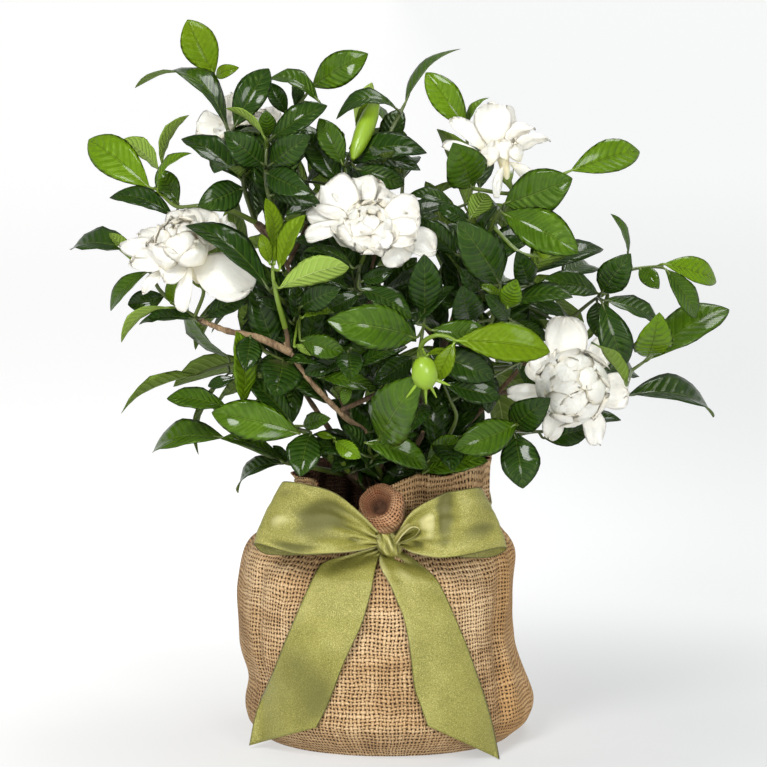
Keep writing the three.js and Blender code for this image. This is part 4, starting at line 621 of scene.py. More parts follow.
def settle(blades, posts):
    """Leaves that would cross are bent clear along the line of sight, so their place in the view stays."""
    start = [(b.root, b.tip, (b.root[1] + b.tip[1]) / 2) for b in blades]
    post_at = np.array([place for place, _ in posts])
    post_owner = np.array([owner for _, owner in posts])
    count = len(blades)
    samples = np.array([b.samples() for b in blades])

    def push(i, u, step):
        b = blades[i]
        if not b.fixed:
            b.moved[0] = clamp(b.moved[0] + 0.5 * (1 - u) * step, -CLEAR["root"], CLEAR["root"])
            b.moved[1] = clamp(b.moved[1] + (0.35 + 0.65 * u) * step, -CLEAR["tip"], CLEAR["tip"])

    for _ in range(CLEAR["rounds"]):
        pushes = 0
        low, high = samples.min(1), samples.max(1)
        for i, a in enumerate(blades):
            below = (low[i + 1:] < high[i] + CLEAR["apart"]).all(1)
            above = (high[i + 1:] > low[i] - CLEAR["apart"]).all(1)
            for j in np.nonzero(below & above)[0] + i + 1:
                b = blades[j]
                if a.fixed and b.fixed:
                    continue
                kin = a.owner == b.owner
                gaps = np.linalg.norm(samples[i][:, None] - samples[j][None], axis=2)
                if kin:
                    gaps[STATION_U < 0.3] = np.inf
                    gaps[:, STATION_U < 0.3] = np.inf
                p, q = np.unravel_index(gaps.argmin(), gaps.shape)
                best = gaps[p, q]
                if best >= (0.75 if kin else 1) * CLEAR["apart"]:
                    continue
                sign = 1 if start[i][2] > start[j][2] else -1
                step = (CLEAR["apart"] - best) * 0.5 + 0.3
                push(i, STATION_U[p], sign * step)
                push(j, STATION_U[q], -sign * step)
                pushes += 1
            if a.fixed:
                continue
            inside = (post_at > low[i] - CLEAR["stems"]).all(1) & (post_at < high[i] + CLEAR["stems"]).all(1)
            for k in np.nonzero(inside)[0]:
                gaps = np.linalg.norm(samples[i] - post_at[k], axis=1)
                if post_owner[k] == a.owner:
                    gaps[STATION_U < 0.4] = np.inf
                close = np.nonzero(gaps < CLEAR["stems"])[0]
                if not len(close):
                    continue
                sign = 1 if start[i][2] > post_at[k][1] else -1
                push(i, STATION_U[close[0]], sign * ((CLEAR["stems"] - gaps[close[0]]) * 0.5 + 0.3))
                pushes += 1
        for i in range(count):
            if not blades[i].fixed:
                blades[i].lie(slid(start[i][0], blades[i].moved[0]), slid(start[i][1], blades[i].moved[1]))
                samples[i] = blades[i].samples()
        if not pushes:
            break


def sack_radius(angle, z):
    """The sack's radius at an angle, 0 on the right and a quarter turn back at the back."""
    rows = np.array(SACK_OUTLINE, float)
    left, right, front = (np.interp(z, rows[:, 0], rows[:, k]) for k in (1, 2, 3))
    cos = np.cos(angle)
    gathered = smooth(z, *FOLDS["gathered"])
    slack = smooth(z, *FOLDS["slack"]) * (1 - gathered)
    folds = -FOLDS["depth"] * gathered * np.cos(FOLDS["neck"] * angle)
    sway = FOLDS["sway"] * slack * np.sin(FOLDS["big"] * angle)
    return np.where(cos < 0, left, right) * cos**2 + front * (1 - cos**2) + folds + sway


def rim_height(angle):
    return SACK["rim"] + SACK["rise"] * np.cos(angle) + SACK["wave"] * np.cos(FOLDS["big"] * angle)


@functools.lru_cache(1)
def grow():
    """The shoots, boughs, twigs and blooms in place, with the leaves bent clear of each other."""
    shoots = {}
    for i, (name, plan) in enumerate(SHOOTS.items()):
        random = random_from(SEEDS["shoot"] + i)
        points = [behind_front(*row) for row in plan["stem"]]
        leaves = [leaf_seen(random, *row) for row in plan["leaves"]]
        shoots[name] = {**plan, "points": points, "leaves": leaves}
    for kind, rows, reach in (("back", BACK_SHOOTS, 1), ("inside", INNER_SHOOTS, INNER_REACH)):
        for i, (direction, rise) in enumerate(rows):
            points, leaves = crown_shoot(direction, rise, reach, SEEDS[kind] + i)
            shoots[f"shoot_{kind}_{i + 1}"] = {"points": points, "leaves": leaves}
    blooms = {name: petals_of(plan, SEEDS["bloom"] + i) for i, (name, plan) in enumerate(BLOOMS.items())}
    boughs = [[seen(*row) for row in rows] for rows in BOUGHS]
    for direction, reach, top in BACK_BOUGHS:
        turn = math.radians(direction)
        out = vec(reach * math.cos(turn), reach * math.sin(turn), 0)
        heights = ((0.3, 175), (0.65, (175 + top) / 2), (1, top))
        boughs.append([vec(0, 0, 142)] + [out * share + UP * z for share, z in heights])
    twigs = []
    for shoot in shoots.values():
        points = shoot["points"]
        parent = shoots.get(shoot.get("after"))
        if parent:
            end = parent["points"][-1]
            along = unit(end - parent["points"][-2])
            points[0:1] = [end + along * GAP, end + along * SHOOT["straight"]]
            continue
        along = unit(points[1] - points[0])
        end = points[0] - along * GAP
        below = end - along * BARK["twig_end"]
        roots = [nearest_on(bough, below - UP * BARK["twig_drop"]) for bough in boughs]
        twigs.append([min(roots, key=lambda root: norm(root - below)), below, end])
    posts = []

    def add_posts(points, owner):
        for a, b in zip(points, points[1:]):
            steps = max(1, math.floor(norm(b - a) / 7 + 0.5))
            posts.extend((lerp(a, b, k / steps), owner) for k in range(steps + 1))

    for name, shoot in shoots.items():
        add_posts(shoot["points"], name)
    for points in boughs + twigs:
        add_posts(points, "woody_stems")
    rim = circle(40)
    add_posts(around(sack_radius(rim, SACK["rim"]) - CLOTH / 2, rim, rim_height(rim)), "burlap_sack")
    blades = []
    for name, shoot in shoots.items():
        for leaf in shoot["leaves"]:
            leaf.owner = name
            blades.append(leaf)
    for name, bloom in blooms.items():
        for petal in bloom["petals"]:
            petal.owner, petal.fixed = name, True
            blades.append(petal)
    settle(blades, posts)
    for blade in blades:
        blade.fixed = True
    bare = ("young", "shoot_back")
    feet = [shoot["points"][:3] for name, shoot in shoots.items() if not name.startswith(bare)]
    in_front = sum("after" not in plan for plan in SHOOTS.values())
    inner = filling(boughs[:len(BOUGHS)] + twigs[:in_front] + feet)
    settle(blades + inner, posts)
    for shoot in shoots.values():
        for leaf in shoot["leaves"]:
            leaf.stalk = rooted_on(shoot["points"], leaf.root)
    return shoots, blooms, boughs, twigs, inner


# Nodes of shader and geometry trees
def node_of(operation, swapped=False):
    """A method that adds one Math node."""

    def add(self, other=0.0):
        return self.math(operation, *((other, self) if swapped else (self, other)))

    return add


class Field:
    """A socket that adds its tree's Math nodes when it stands in an expression."""

    __add__, __radd__ = node_of("ADD"), node_of("ADD", swapped=True)
    __sub__, __rsub__ = node_of("SUBTRACT"), node_of("SUBTRACT", swapped=True)
    __mul__, __rmul__ = node_of("MULTIPLY"), node_of("MULTIPLY", swapped=True)
    __truediv__, __pow__, __mod__ = node_of("DIVIDE"), node_of("POWER"), node_of("FLOORED_MODULO")
    __gt__, __abs__ = node_of("GREATER_THAN"), node_of("ABSOLUTE")
    sin, cos, floor = node_of("SINE"), node_of("COSINE"), node_of("FLOOR")
    least, most = node_of("MINIMUM"), node_of("MAXIMUM")

    def __init__(self, socket):
        self.socket = socket

    def other(self, name):
        return Field(self.socket.node.outputs[name])

    def math(self, operation, a, b):
        nodes = Nodes(self.socket.id_data)
        vectors = [isinstance(x, Field) and x.socket.type == "VECTOR" for x in (a, b)]
        if not any(vectors):
            return nodes.add("ShaderNodeMath", {"operation": operation}, {0: a, 1: b})
        if operation == "MULTIPLY" and not all(vectors):
            vector, value = (a, b) if vectors[0] else (b, a)
            return nodes.add("ShaderNodeVectorMath", {"operation": "SCALE"}, {0: vector, "Scale": value})
        return nodes.add("ShaderNodeVectorMath", {"operation": operation}, {0: a, 1: b})


class Nodes:
    """The nodes of one tree."""

    def __init__(self, tree):
        self.tree = tree

    def add(self, kind, settings=None, inputs=None, out=0):
        """A node with its settings, then the values or links of its sockets. The result is one output."""
        node = self.tree.nodes.new(kind)
        for name, value in (settings or {}).items():
            if name == "stops":
                self.ramp(node.color_ramp, value)
            else:
                setattr(node, name, value)
        for key, value in (inputs or {}).items():
            if isinstance(value, Field):
                self.tree.links.new(value.socket, node.inputs[key])
            else:
                node.inputs[key].default_value = value
        return Field(node.outputs[out]) if node.outputs else node

    def ramp(self, ramp, stops):
        while len(ramp.elements) < len(stops):
            ramp.elements.new(0.5)
        for element, (place, colour) in zip(ramp.elements, stops):
            element.position = place
            element.color = (*colour, 1)

    def step(self, value, low, high):
        """Smooth from 0 at low to 1 at high."""
        settings = {"interpolation_type": "SMOOTHSTEP"}
        return self.add("ShaderNodeMapRange", settings, {0: value, 1: low, 2: high})

    def mix(self, share, a, b, blend="MIX"):
        settings = {"data_type": "RGBA", "blend_type": blend}
        colours = {6: a if isinstance(a, Field) else (*a, 1), 7: b if isinstance(b, Field) else (*b, 1)}
        return self.add("ShaderNodeMix", settings, {0: share, **colours}, out=2)

    def tint(self, value, stops):
        return self.add("ShaderNodeValToRGB", {"stops": stops}, {0: value})

    def noise(self, place, scale, detail=2.0, rough=0.5):
        sockets = {"Vector": place, "Scale": scale, "Detail": detail, "Roughness": rough}
        return self.add("ShaderNodeTexNoise", {}, sockets)

    def stretched(self, place, scales):
        return self.add("ShaderNodeVectorMath", {"operation": "MULTIPLY"}, {0: place, 1: scales})

    def bump(self, height, distance, strength=1.0, normal=None):
        sockets = {"Height": height, "Distance": distance, "Strength": strength}
        if normal:
            sockets["Normal"] = normal
        return self.add("ShaderNodeBump", {}, sockets)

    def attribute(self, name):
        return self.add("ShaderNodeAttribute", {"attribute_name": name}, out="Fac")

    def place(self):
        return self.add("ShaderNodeTexCoord", out="Object")

    def cloth(self):
        return self.add("ShaderNodeUVMap", {"uv_map": "cloth"})

    def part(self, vector, axis="X"):
        return self.add("ShaderNodeSeparateXYZ", {}, {0: vector}, out=axis)

    def given(self, name, kind="FLOAT"):
        """A point's own value or direction, in a geometry tree."""
        return self.add("GeometryNodeInputNamedAttribute", {"data_type": kind}, {"Name": name})

    def both(self, *geometries):
        pair = self.add("GeometryNodeJoinGeometry")
        for geometry in geometries:
            self.tree.links.new(geometry.socket, pair.socket.node.inputs[0])
        return pair

    def end(self, geometry, inputs):
        """Gives the geometry its material and ends the tree."""
        made = self.add("GeometryNodeSetMaterial", {}, {0: geometry, "Material": inputs.other("Material")})
        self.add("NodeGroupOutput", {}, {0: made})


def material(name):
    """A new material with no nodes yet."""
    made = bpy.data.materials.new(name)
    made.use_nodes = True
    made.node_tree.nodes.clear()
    return made, Nodes(made.node_tree)


def surface(nodes, **sockets):
    """Ends a material in one shader. Names of sockets have an underscore for a space."""
    named = {key.replace("_", " "): (*value, 1) if isinstance(value, tuple) else value
             for key, value in sockets.items()}
    shader = nodes.add("ShaderNodeBsdfPrincipled", {}, named)
    nodes.add("ShaderNodeOutputMaterial", {}, {"Surface": shader})


# Finishes
def leaf_finish(p):
    made, n = material("gardenia_leaf")
    u, v, skin, tone = (n.attribute(name) for name in ("u", "v", "skin", "tone"))
    phase = n.attribute("phase")
    place = n.place()
    across = abs(v)
    drift = n.noise(place, 60.0, 2.0) - 0.5
    stops = [(0.0, p.old_green), (0.36, p.green), (0.68, p.bright_green), (1.0, p.lime)]
    upper = n.tint((tone + drift * 1.3 - across * 0.1) / 3.0, stops)
    stops = [(0.0, (0.11, 0.17, 0.03)), (0.5, (0.17, 0.27, 0.035)), (1.0, (0.27, 0.37, 0.08))]
    under = n.tint(tone / 3.0, stops)
    ribs = u * p.ribs - across ** 1.25 * 1.9 + phase + drift * 0.25
    gap = abs((ribs % 1.0) - 0.5)
    rib = (1.0 - n.step(gap, 0.0, 0.1)) * (1.0 - n.step(across, 0.7, 0.95)) * n.step(u, 0.02, 0.08)
    middle = 1.0 - n.step(across, 0.01, 0.035 + 0.045 * (1.0 - u))
    veins = (rib * 0.5).most(middle)
    pillow = (gap * math.pi * 2.0).cos() * -0.5 + 0.5
    net = n.noise(place, 420.0, 3.0, 0.6)
    colour = n.mix(veins * 0.5, upper, n.mix(0.4, upper, (0.22, 0.33, 0.04)))
    colour = n.mix(n.step(net, 0.35, 0.75) * 0.3, colour, (0.35, 0.35, 0.3), "MULTIPLY")
    below = n.mix(veins * 0.6, under, (0.40, 0.50, 0.16))
    upside = n.step(skin, -0.2, 0.2)
    colour = n.mix(upside, below, colour)
    young = n.step(tone, 1.6, 2.8)
    relief = pillow * (1.0 - across * 0.6) * n.step(u, 0.0, 0.12) * (1.0 - young * 0.6) - middle
    relief = relief * (upside * 2.0 - 1.0) + net * 0.2 + n.noise(place, 110.0, 2.0) * 0.9
    rough = n.noise(place, 150.0, 2.0) * 0.22 + 0.2 + (1.0 - upside) * 0.35
    surface(n, Base_Color=colour, Roughness=rough, Coat_Weight=upside * (0.32 - young * 0.24),
            Coat_Roughness=0.1, Specular_IOR_Level=0.12, Specular_Tint=(0.7, 0.9, 0.3),
            Normal=n.bump(relief, p.relief * MM, 0.8))
    return made


def stalk_finish():
    made, n = material("green_stem")
    tone = n.attribute("tone")
    drift = n.noise(n.stretched(n.place(), (1.0, 1.0, 0.3)), 500.0, 3.0)
    stops = [(0.0, (0.045, 0.06, 0.014)), (0.4, (0.10, 0.15, 0.015)), (0.7, (0.16, 0.26, 0.012)),
             (1.0, (0.21, 0.34, 0.008))]
    surface(n, Base_Color=n.tint(tone / 3.2 + drift * 0.16 - 0.08, stops), Roughness=0.38 + drift * 0.1,
            Coat_Weight=0.2, Normal=n.bump(drift, 0.0004, 0.5))
    return made


def bark_finish():
    made, n = material("woody_bark")
    place = n.place()
    fibre = n.noise(n.stretched(place, (1.0, 1.0, 0.22)), 620.0, 4.0, 0.65)
    blotch = n.noise(place, 90.0, 3.0)
    stops = [(0.25, (0.025, 0.016, 0.008)), (0.5, (0.12, 0.07, 0.032)), (0.75, (0.36, 0.25, 0.135))]
    # The two front boughs carry tone 1 and come out lighter and redder; the rest are painted darker, as shade
    # inside the crown.
    colour = n.tint(fibre * 0.6 + blotch * 0.5 + n.attribute("tone") * 0.18 - 0.12, stops)
    surface(n, Base_Color=colour, Roughness=0.7 + fibre * 0.2, Normal=n.bump(fibre, 0.0012, 0.9))
    return made


def petal_finish(p):
    made, n = material("gardenia_petal")
    u, v, warm = n.attribute("u"), n.attribute("v"), n.attribute("tone")
    place = n.place()
    streak = n.noise(n.add("ShaderNodeCombineXYZ", {}, {0: u * 2.5, 1: v * 16.0, 2: warm * 9.0}), 1.0, 2.0)
    crumple = n.noise(place, 130.0, 3.0, 0.55)
    margin = n.step(abs(v), 0.8, 1.0).most(n.step(u, 0.93, 1.0)) * 0.35
    depth = (1.0 - n.step(u, 0.0, 0.5)) * 0.8 + n.step(warm, 0.2, 1.4) * 0.18 + margin * warm * 1.1
    colour = n.mix(depth, p.white, p.cream)
    colour = n.mix(n.step(streak, 0.5, 0.8) * 0.12, colour, (0.78, 0.76, 0.68))
    colour = n.mix(n.step(crumple, 0.62, 0.8) * 0.1, colour, (0.84, 0.80, 0.68))
    normal = n.bump(streak, 0.0007, 0.4)
    normal = n.bump(crumple, 0.0026, 0.5, normal)
    surface(n, Base_Color=colour, Roughness=0.5 + crumple * 0.1, Normal=normal, Subsurface_Weight=0.4,
            Subsurface_Radius=[0.007, 0.0055, 0.004], Subsurface_Scale=1.0)
    return made


def burlap_finish(p):
    made, n = material("burlap_weave")
    place = n.cloth()
    wobble = n.noise(place, 55.0, 3.0) - 0.5
    wobble_2 = n.noise(place + (3.1, 1.7, 0.0), 55.0, 3.0) - 0.5
    parts = n.part(place)
    pitch = p.pitch * MM
    a = parts / pitch + wobble * 2.4
    b = parts.other("Y") / pitch + wobble_2 * 2.4
    x, y = abs((a % 1.0) - 0.5), abs((b % 1.0) - 0.5)
    slub_a = n.noise(n.stretched(place, (0.9 / pitch, 26.0, 1.0)), 1.0, 2.0)
    slub_b = n.noise(n.stretched(place + (7.0, 9.0, 0.0), (26.0, 0.9 / pitch, 1.0)), 1.0, 2.0)
    warp, weft = x / (slub_a * 0.5 + 0.1), y / (slub_b * 0.5 + 0.1)
    warp_in, weft_in = 1.0 - n.step(warp, 0.75, 1.1), 1.0 - n.step(weft, 0.75, 1.1)
    over = (a.floor() + b.floor()) % 2.0
    warp_top = warp_in * (1.0 - warp * warp * 0.6) * (over * 0.45 + 0.55)
    weft_top = weft_in * (1.0 - weft * weft * 0.6) * ((1.0 - over) * 0.45 + 0.55)
    height = warp_top.most(weft_top)
    fibre = n.noise(n.stretched(place, (2600.0, 900.0, 1.0)), 1.0, 2.0, 0.6)
    band = n.noise(n.stretched(place, (6.0, 90.0, 1.0)), 1.0, 2.0)
    stain = n.noise(place, 14.0, 3.0)
    shade = fibre * 0.35 + band * 0.3 + slub_a * 0.2 + slub_b * 0.2 + (stain - 0.5) * 0.5
    colour = n.tint(shade, [(0.25, p.dark), (0.5, p.middle), (0.72, p.pale)])
    # Painted shade: where the threads dip under each other, the colour is multiplied darker.
    colour = n.mix(n.step(height, 0.25, 0.95), n.mix(1.0, colour, (0.6, 0.5, 0.38), "MULTIPLY"), colour)
    # Painted shade: the sack's right side, past about x = 0.07 m, is painted darker and more orange.
    side = n.part(n.place())
    colour = n.mix(n.step(side, 0.066, 0.08) * 0.4, colour, (0.55, 0.30, 0.10))
    # Painted shade: the curl value paints the curled corner red-brown, darker as it turns in, and near black
    # deep in its mouth and inside the sack.
    curl = n.attribute("curl")
    colour = n.mix(curl.least(1.0) * 0.75, colour, (0.27, 0.075, 0.03))
    colour = n.mix(n.step(curl, 1.2, 2.0) * 0.85, colour, (0.02, 0.013, 0.008))
    # Painted shade: the gaps between threads are painted near black, as the shade behind the open weave.
    colour = n.mix(n.step(height, 0.08, 0.42), (0.03, 0.015, 0.007), colour)
    normal = n.bump(height, 0.0012, 1.0)
    normal = n.bump(fibre, 0.0003, 0.5, normal)
    surface(n, Base_Color=colour, Roughness=0.9, Normal=normal, Specular_IOR_Level=0.25)
    return made


def satin_finish(p):
    made, n = material("olive_satin")
    place = n.cloth()
    edge = n.step(abs(n.part(place)), *RIBBON["hem"])
    weave = n.noise(n.stretched(place, (5200.0, 900.0, 1.0)), 1.0, 1.0)
    grain = n.noise(n.place(), 1500.0, 2.0, 0.7)
    glint = n.step(grain, 0.58, 0.72)
    drift = n.noise(n.place(), 55.0, 3.0)
    # Painted shade and sheen: fine noise runs the satin's colour from its shaded tone to its lit tone in
    # speckles.
    stops = [(0.34, p.shade), (0.5, p.olive), (0.7, p.light)]
    colour = n.tint(drift * 0.2 + grain * 0.8, stops)
    colour = n.mix(glint * 0.6, colour, (0.66, 0.60, 0.24))
    colour = n.mix(edge * 0.8, colour, (0.06, 0.055, 0.008))
    # Painted shade where the attribute below is above 0, and a painted highlight where it is below 0, over
    # the bow's folds, dents and creases.
    hollow = n.attribute("hollow")
    colour = n.mix(n.step(hollow, 0.0, 1.0) * 0.85, colour, (0.08, 0.078, 0.01))
    colour = n.mix(n.step(hollow * -1.0, 0.0, 1.0) * 0.6, colour, (0.6, 0.56, 0.26))
    normal = n.bump(weave, 0.0002, 0.35)
    normal = n.bump(grain, 0.0005, 0.6, normal)
    surface(n, Base_Color=colour, Roughness=0.46 - glint * 0.2, Metallic=glint * 0.3 + 0.1, Normal=normal)
    return made


def pot_finish():
    made, n = material("nursery_plastic")
    grain = n.noise(n.place(), 900.0, 3.0)
    dust = n.noise(n.place(), 45.0, 4.0)
    colour = n.mix(n.step(dust, 0.5, 0.8) * 0.35, (0.012, 0.012, 0.012), (0.09, 0.08, 0.065))
    surface(n, Base_Color=colour, Roughness=0.42 + dust * 0.2, Normal=n.bump(grain, 0.0003, 0.4))
    return made


def soil_finish():
    made, n = material("potting_mix")
    crumbs = n.noise(n.place(), 260.0, 5.0, 0.7)
    patch = n.noise(n.place(), 60.0, 3.0)
    stops = [(0.3, (0.012, 0.008, 0.005)), (0.5, (0.045, 0.028, 0.016)), (0.72, (0.13, 0.085, 0.05))]
    colour = n.tint(crumbs * 0.7 + patch * 0.3, stops)
    surface(n, Base_Color=colour, Roughness=0.95, Normal=n.bump(crumbs, 0.004, 1.0))
    return made


def floor_finish():
    made, n = material("studio_floor")
    place = n.place()
    # Painted light: the floor glows by emission, dimmer near the plant and on its right as painted shade.
    away = n.add("ShaderNodeVectorMath", {"operation": "LENGTH"}, {0: place}, out="Value")
    far = n.step(away, 0.12, 0.5) * 0.7 + n.step(away, 0.7, 6.0) * 0.3
    right = n.step(n.part(place), -0.15, 0.45) * (1.0 - n.step(away, 0.2, 3.0) * 0.5)
    near = n.mix(right, (0.56, 0.56, 0.555), (0.19, 0.21, 0.215))
    glow = n.mix(far, near, n.mix(right, (0.86, 0.86, 0.86), (0.72, 0.74, 0.74)))
    surface(n, Base_Color=(0.3, 0.3, 0.3), Roughness=0.8, Emission_Color=glow, Emission_Strength=1.0)
    return made


# Meshes
def placed(name, data):
    made = bpy.data.objects.new(name, data)
    bpy.context.scene.collection.objects.link(made)
    return made


def mesh_object(name, points, faces=(), edges=()):
    mesh = bpy.data.meshes.new(name)
    mesh.from_pydata(np.asarray(points, float).reshape(-1, 3).tolist(), list(edges), list(faces))
    mesh.update()
    return placed(name, mesh)


def set_values(mesh, name, values):
    values = np.asarray(values, np.float32)
    kind = "FLOAT_VECTOR" if values.ndim == 2 else "FLOAT"
    layer = mesh.attributes.new(name, kind, "POINT")
    layer.data.foreach_set("vector" if values.ndim == 2 else "value", values.ravel())


def shell(name, rings, uv, finish, start=None, end=None, closed=False):
    """A skin over rings of points in millimetres, as many in each. Its ends close on a point, or flat."""
    rings = np.asarray(rings, float) * MM
    rows, count = rings.shape[:2]
    uv = np.zeros((rows, count + 1, 2)) if uv is None else uv
    points = list(rings.reshape(-1, 3))
    faces, corners = [], []
    for r in range(rows if closed else rows - 1):
        s = (r + 1) % rows
        for i in range(count):
            j = (i + 1) % count
            faces.append((r * count + i, r * count + j, s * count + j, s * count + i))
            corners.append((uv[r][i], uv[r][i + 1], uv[r + 1][i + 1], uv[r + 1][i]))
    ends = () if closed else ((0, start, True), (rows - 1, end, False))
    for ring, point, backwards in ends:
        if point is None:
            loops = [[i, i + 1, count - 2 - i, count - 1 - i] for i in range(count // 2 - 1)]
        else:
            points.append(np.array(point) * MM)
            loops = [[i, i + 1] for i in range(count)]
        for loop in loops:
            places = [uv[ring][k] for k in loop]
            if backwards:
                loop.reverse()
                places.reverse()
            face = [ring * count + k % count for k in loop]
            if point is not None:
                face.append(len(points) - 1)
                places.append(np.mean(places, 0))
            faces.append(face)
            corners.append(places)
    made = mesh_object(name, points, faces)
    layer = made.data.uv_layers.new(name="cloth")
    layer.data.foreach_set("uv", np.array([c for face in corners for c in face], np.float32).ravel())
    made.data.materials.append(finish)
    made.data.polygons.foreach_set("use_smooth", [True] * len(faces))
    return made


def curve_through(points, count):
    """Points spaced evenly on a smooth line through the given ones."""
    points = np.asarray(points, float)
    ends = [2 * points[0] - points[1], *points, 2 * points[-1] - points[-2]]
    t = np.linspace(0, len(points) - 1, count)
    i = np.minimum(t.astype(int), len(points) - 2)
    s = (t - i).reshape(-1, *[1] * (points.ndim - 1))
    p0, p1, p2, p3 = (np.array(ends)[i + k] for k in range(4))
    cubic = (3 * p1 - p0 - 3 * p2 + p3) * s**3
    return 0.5 * (2 * p1 + (p2 - p0) * s + (2 * p0 - 5 * p1 + 4 * p2 - p3) * s * s + cubic)


def geometry_tree(name, sizes):
    """A Geometry Nodes tree with a geometry in, one out, and a named input for each size."""
    tree = bpy.data.node_groups.new(name, "GeometryNodeTree")
    tree.interface.new_socket("Geometry", in_out="INPUT", socket_type="NodeSocketGeometry")
    tree.interface.new_socket("Geometry", in_out="OUTPUT", socket_type="NodeSocketGeometry")
    kinds = {int: "NodeSocketInt", float: "NodeSocketFloat"}
    for key, value in sizes.items():
        kind = kinds.get(type(value), "NodeSocketMaterial")
        tree.interface.new_socket(key, in_out="INPUT", socket_type=kind)
    nodes = Nodes(tree)
    return tree, nodes, nodes.add("NodeGroupInput")


def grown(thing, tree, sizes):
    """Runs a tree on an object and leaves a plain mesh."""
    modifier = thing.modifiers.new("grow", "NODES")
    modifier.node_group = tree
    for socket in tree.interface.items_tree:
        if socket.in_out == "INPUT" and socket.name in sizes:
            modifier[socket.identifier] = sizes[socket.name]
    thing.update_tag()
    bpy.context.view_layer.update()
    graph = bpy.context.evaluated_depsgraph_get()
    mesh = bpy.data.meshes.new_from_object(thing.evaluated_get(graph), depsgraph=graph)
    thing.modifiers.remove(modifier)
    old = thing.data
    thing.data = mesh
    bpy.data.meshes.remove(old)
    mesh.name = thing.name
    if not len(mesh.polygons):
        raise RuntimeError(f"{thing.name} came out empty")
    return thing


def blade_tree(kind):
    """Leaves or petals on points: two skins bent along each blade and welded at its edge."""
    rise, fall, peak = OUTLINE[kind] if kind == "leaf" else ROUNDED
    sizes = {"Rows": 1, "Columns": 1, "Thickness": 1.0, "Material": None}
    tree, n, inputs = geometry_tree(f"{kind}_blades", sizes)
    grid = n.add("GeometryNodeMeshGrid", {}, {2: inputs.other("Columns"), 3: inputs.other("Rows")})
    apart = n.part(n.add("GeometryNodeInputPosition"))

    def keep(geometry, name, value):
        return n.add("GeometryNodeStoreNamedAttribute", {"data_type": "FLOAT", "domain": "POINT"},
                     {"Geometry": geometry, "Name": name, "Value": value})

    blank = keep(grid, "v", apart * 2.0)
    blank = keep(blank, "u", apart.other("Y") + 0.5)
    top = keep(blank, "skin", 1.0)
    under = keep(n.add("GeometryNodeFlipFaces", {}, {0: blank}), "skin", -1.0)
    spread = n.add("GeometryNodeInstanceOnPoints", {}, {"Points": inputs, "Instance": n.both(top, under)})
    flat = n.add("GeometryNodeRealizeInstances", {}, {0: spread})

    value = n.given
    grid_u, v, skin = value("u"), value("v"), value("skin")
    u = 0.5 - (grid_u * math.pi).cos() * 0.5
    half, length, phase = value("half"), value("length"), value("phase")
    root, along, side, face = (value(name, "FLOAT_VECTOR") for name in ("root", "along", "side", "face"))
    outline = u.most(0.0) ** rise * (1.0 - u).most(0.0) ** fall / peak
    reach = half * outline
    open_u = u * (1.0 - u) * 4.0
    lift = value("arch") * length * open_u
    bend = (u * math.pi).sin() * value("bend") * length
    station = u
    if kind == "leaf":
        lift += value("fold") * reach * (abs(v) * 1.5 - v * v * 0.5)
        sway = (u * value("waves") * 2.0 * math.pi + phase + (v > 0.0) * 1.9).sin()
        lift += sway * v * v * open_u * value("wave") * half
        lift -= ((u - 0.55).most(0.0) ** 2.0) * length * value("curl")
    else:
        lift += value("fold") * reach * v * v * 1.15
        sway = (u * 5.0 + v * value("waves") + phase).sin() + (v * 7.0 - u * 3.0 + phase * 2.0).sin() * 0.6
        late = n.step(u, 0.3, 1.0)
        lift += sway * late * value("wave") * half
        lift -= (v * v * 0.5 + 0.5) * n.step(u, 0.55, 1.0) * value("curl") * length
        lift += (u * 17.0 + v * 3.0 + phase * 2.0).sin() * v * v * late * value("wave") * half * 0.55
        frill = (v * 5.5 + phase).sin() * 0.45 + (v * 12.0 + phase * 3.0).sin() * 0.25
        station = u + frill * late * outline * value("wave") * 0.8
    thick = inputs.other("Thickness") * 0.5 * (1.0 - v * v) * (open_u.most(0.0) ** 0.5)
    spot = root + along * station + side * (reach * v + bend) + face * (lift + thick * skin)
    flat = n.add("GeometryNodeSetPosition", {}, {0: flat, "Position": spot})
    flat = keep(flat, "u", u)
    flat = n.add("GeometryNodeMergeByDistance", {}, {0: flat, "Distance": 0.00002})
    flat = n.add("GeometryNodeSetShadeSmooth", {}, {0: flat})
    n.end(flat, inputs)
    return tree


def stem_tree():
    """Round stems along lines, with the radius that each point gives."""
    tree, n, inputs = geometry_tree("round_stems", {"Sides": 1, "Material": None})
    line = n.add("GeometryNodeMeshToCurve", {}, {0: inputs})
    sockets = {"Resolution": inputs.other("Sides"), "Radius": 1.0}
    ring = n.add("GeometryNodeCurvePrimitiveCircle", {}, sockets)
    sockets = {0: line, 1: ring, "Scale": n.given("radius"), "Fill Caps": True}
    skin = n.add("GeometryNodeCurveToMesh", {}, sockets)
    skin = n.add("GeometryNodeSetShadeSmooth", {}, {0: skin})
    skin = n.add("GeometryNodeRealizeInstances", {}, {0: skin})
    n.end(skin, inputs)
    return tree


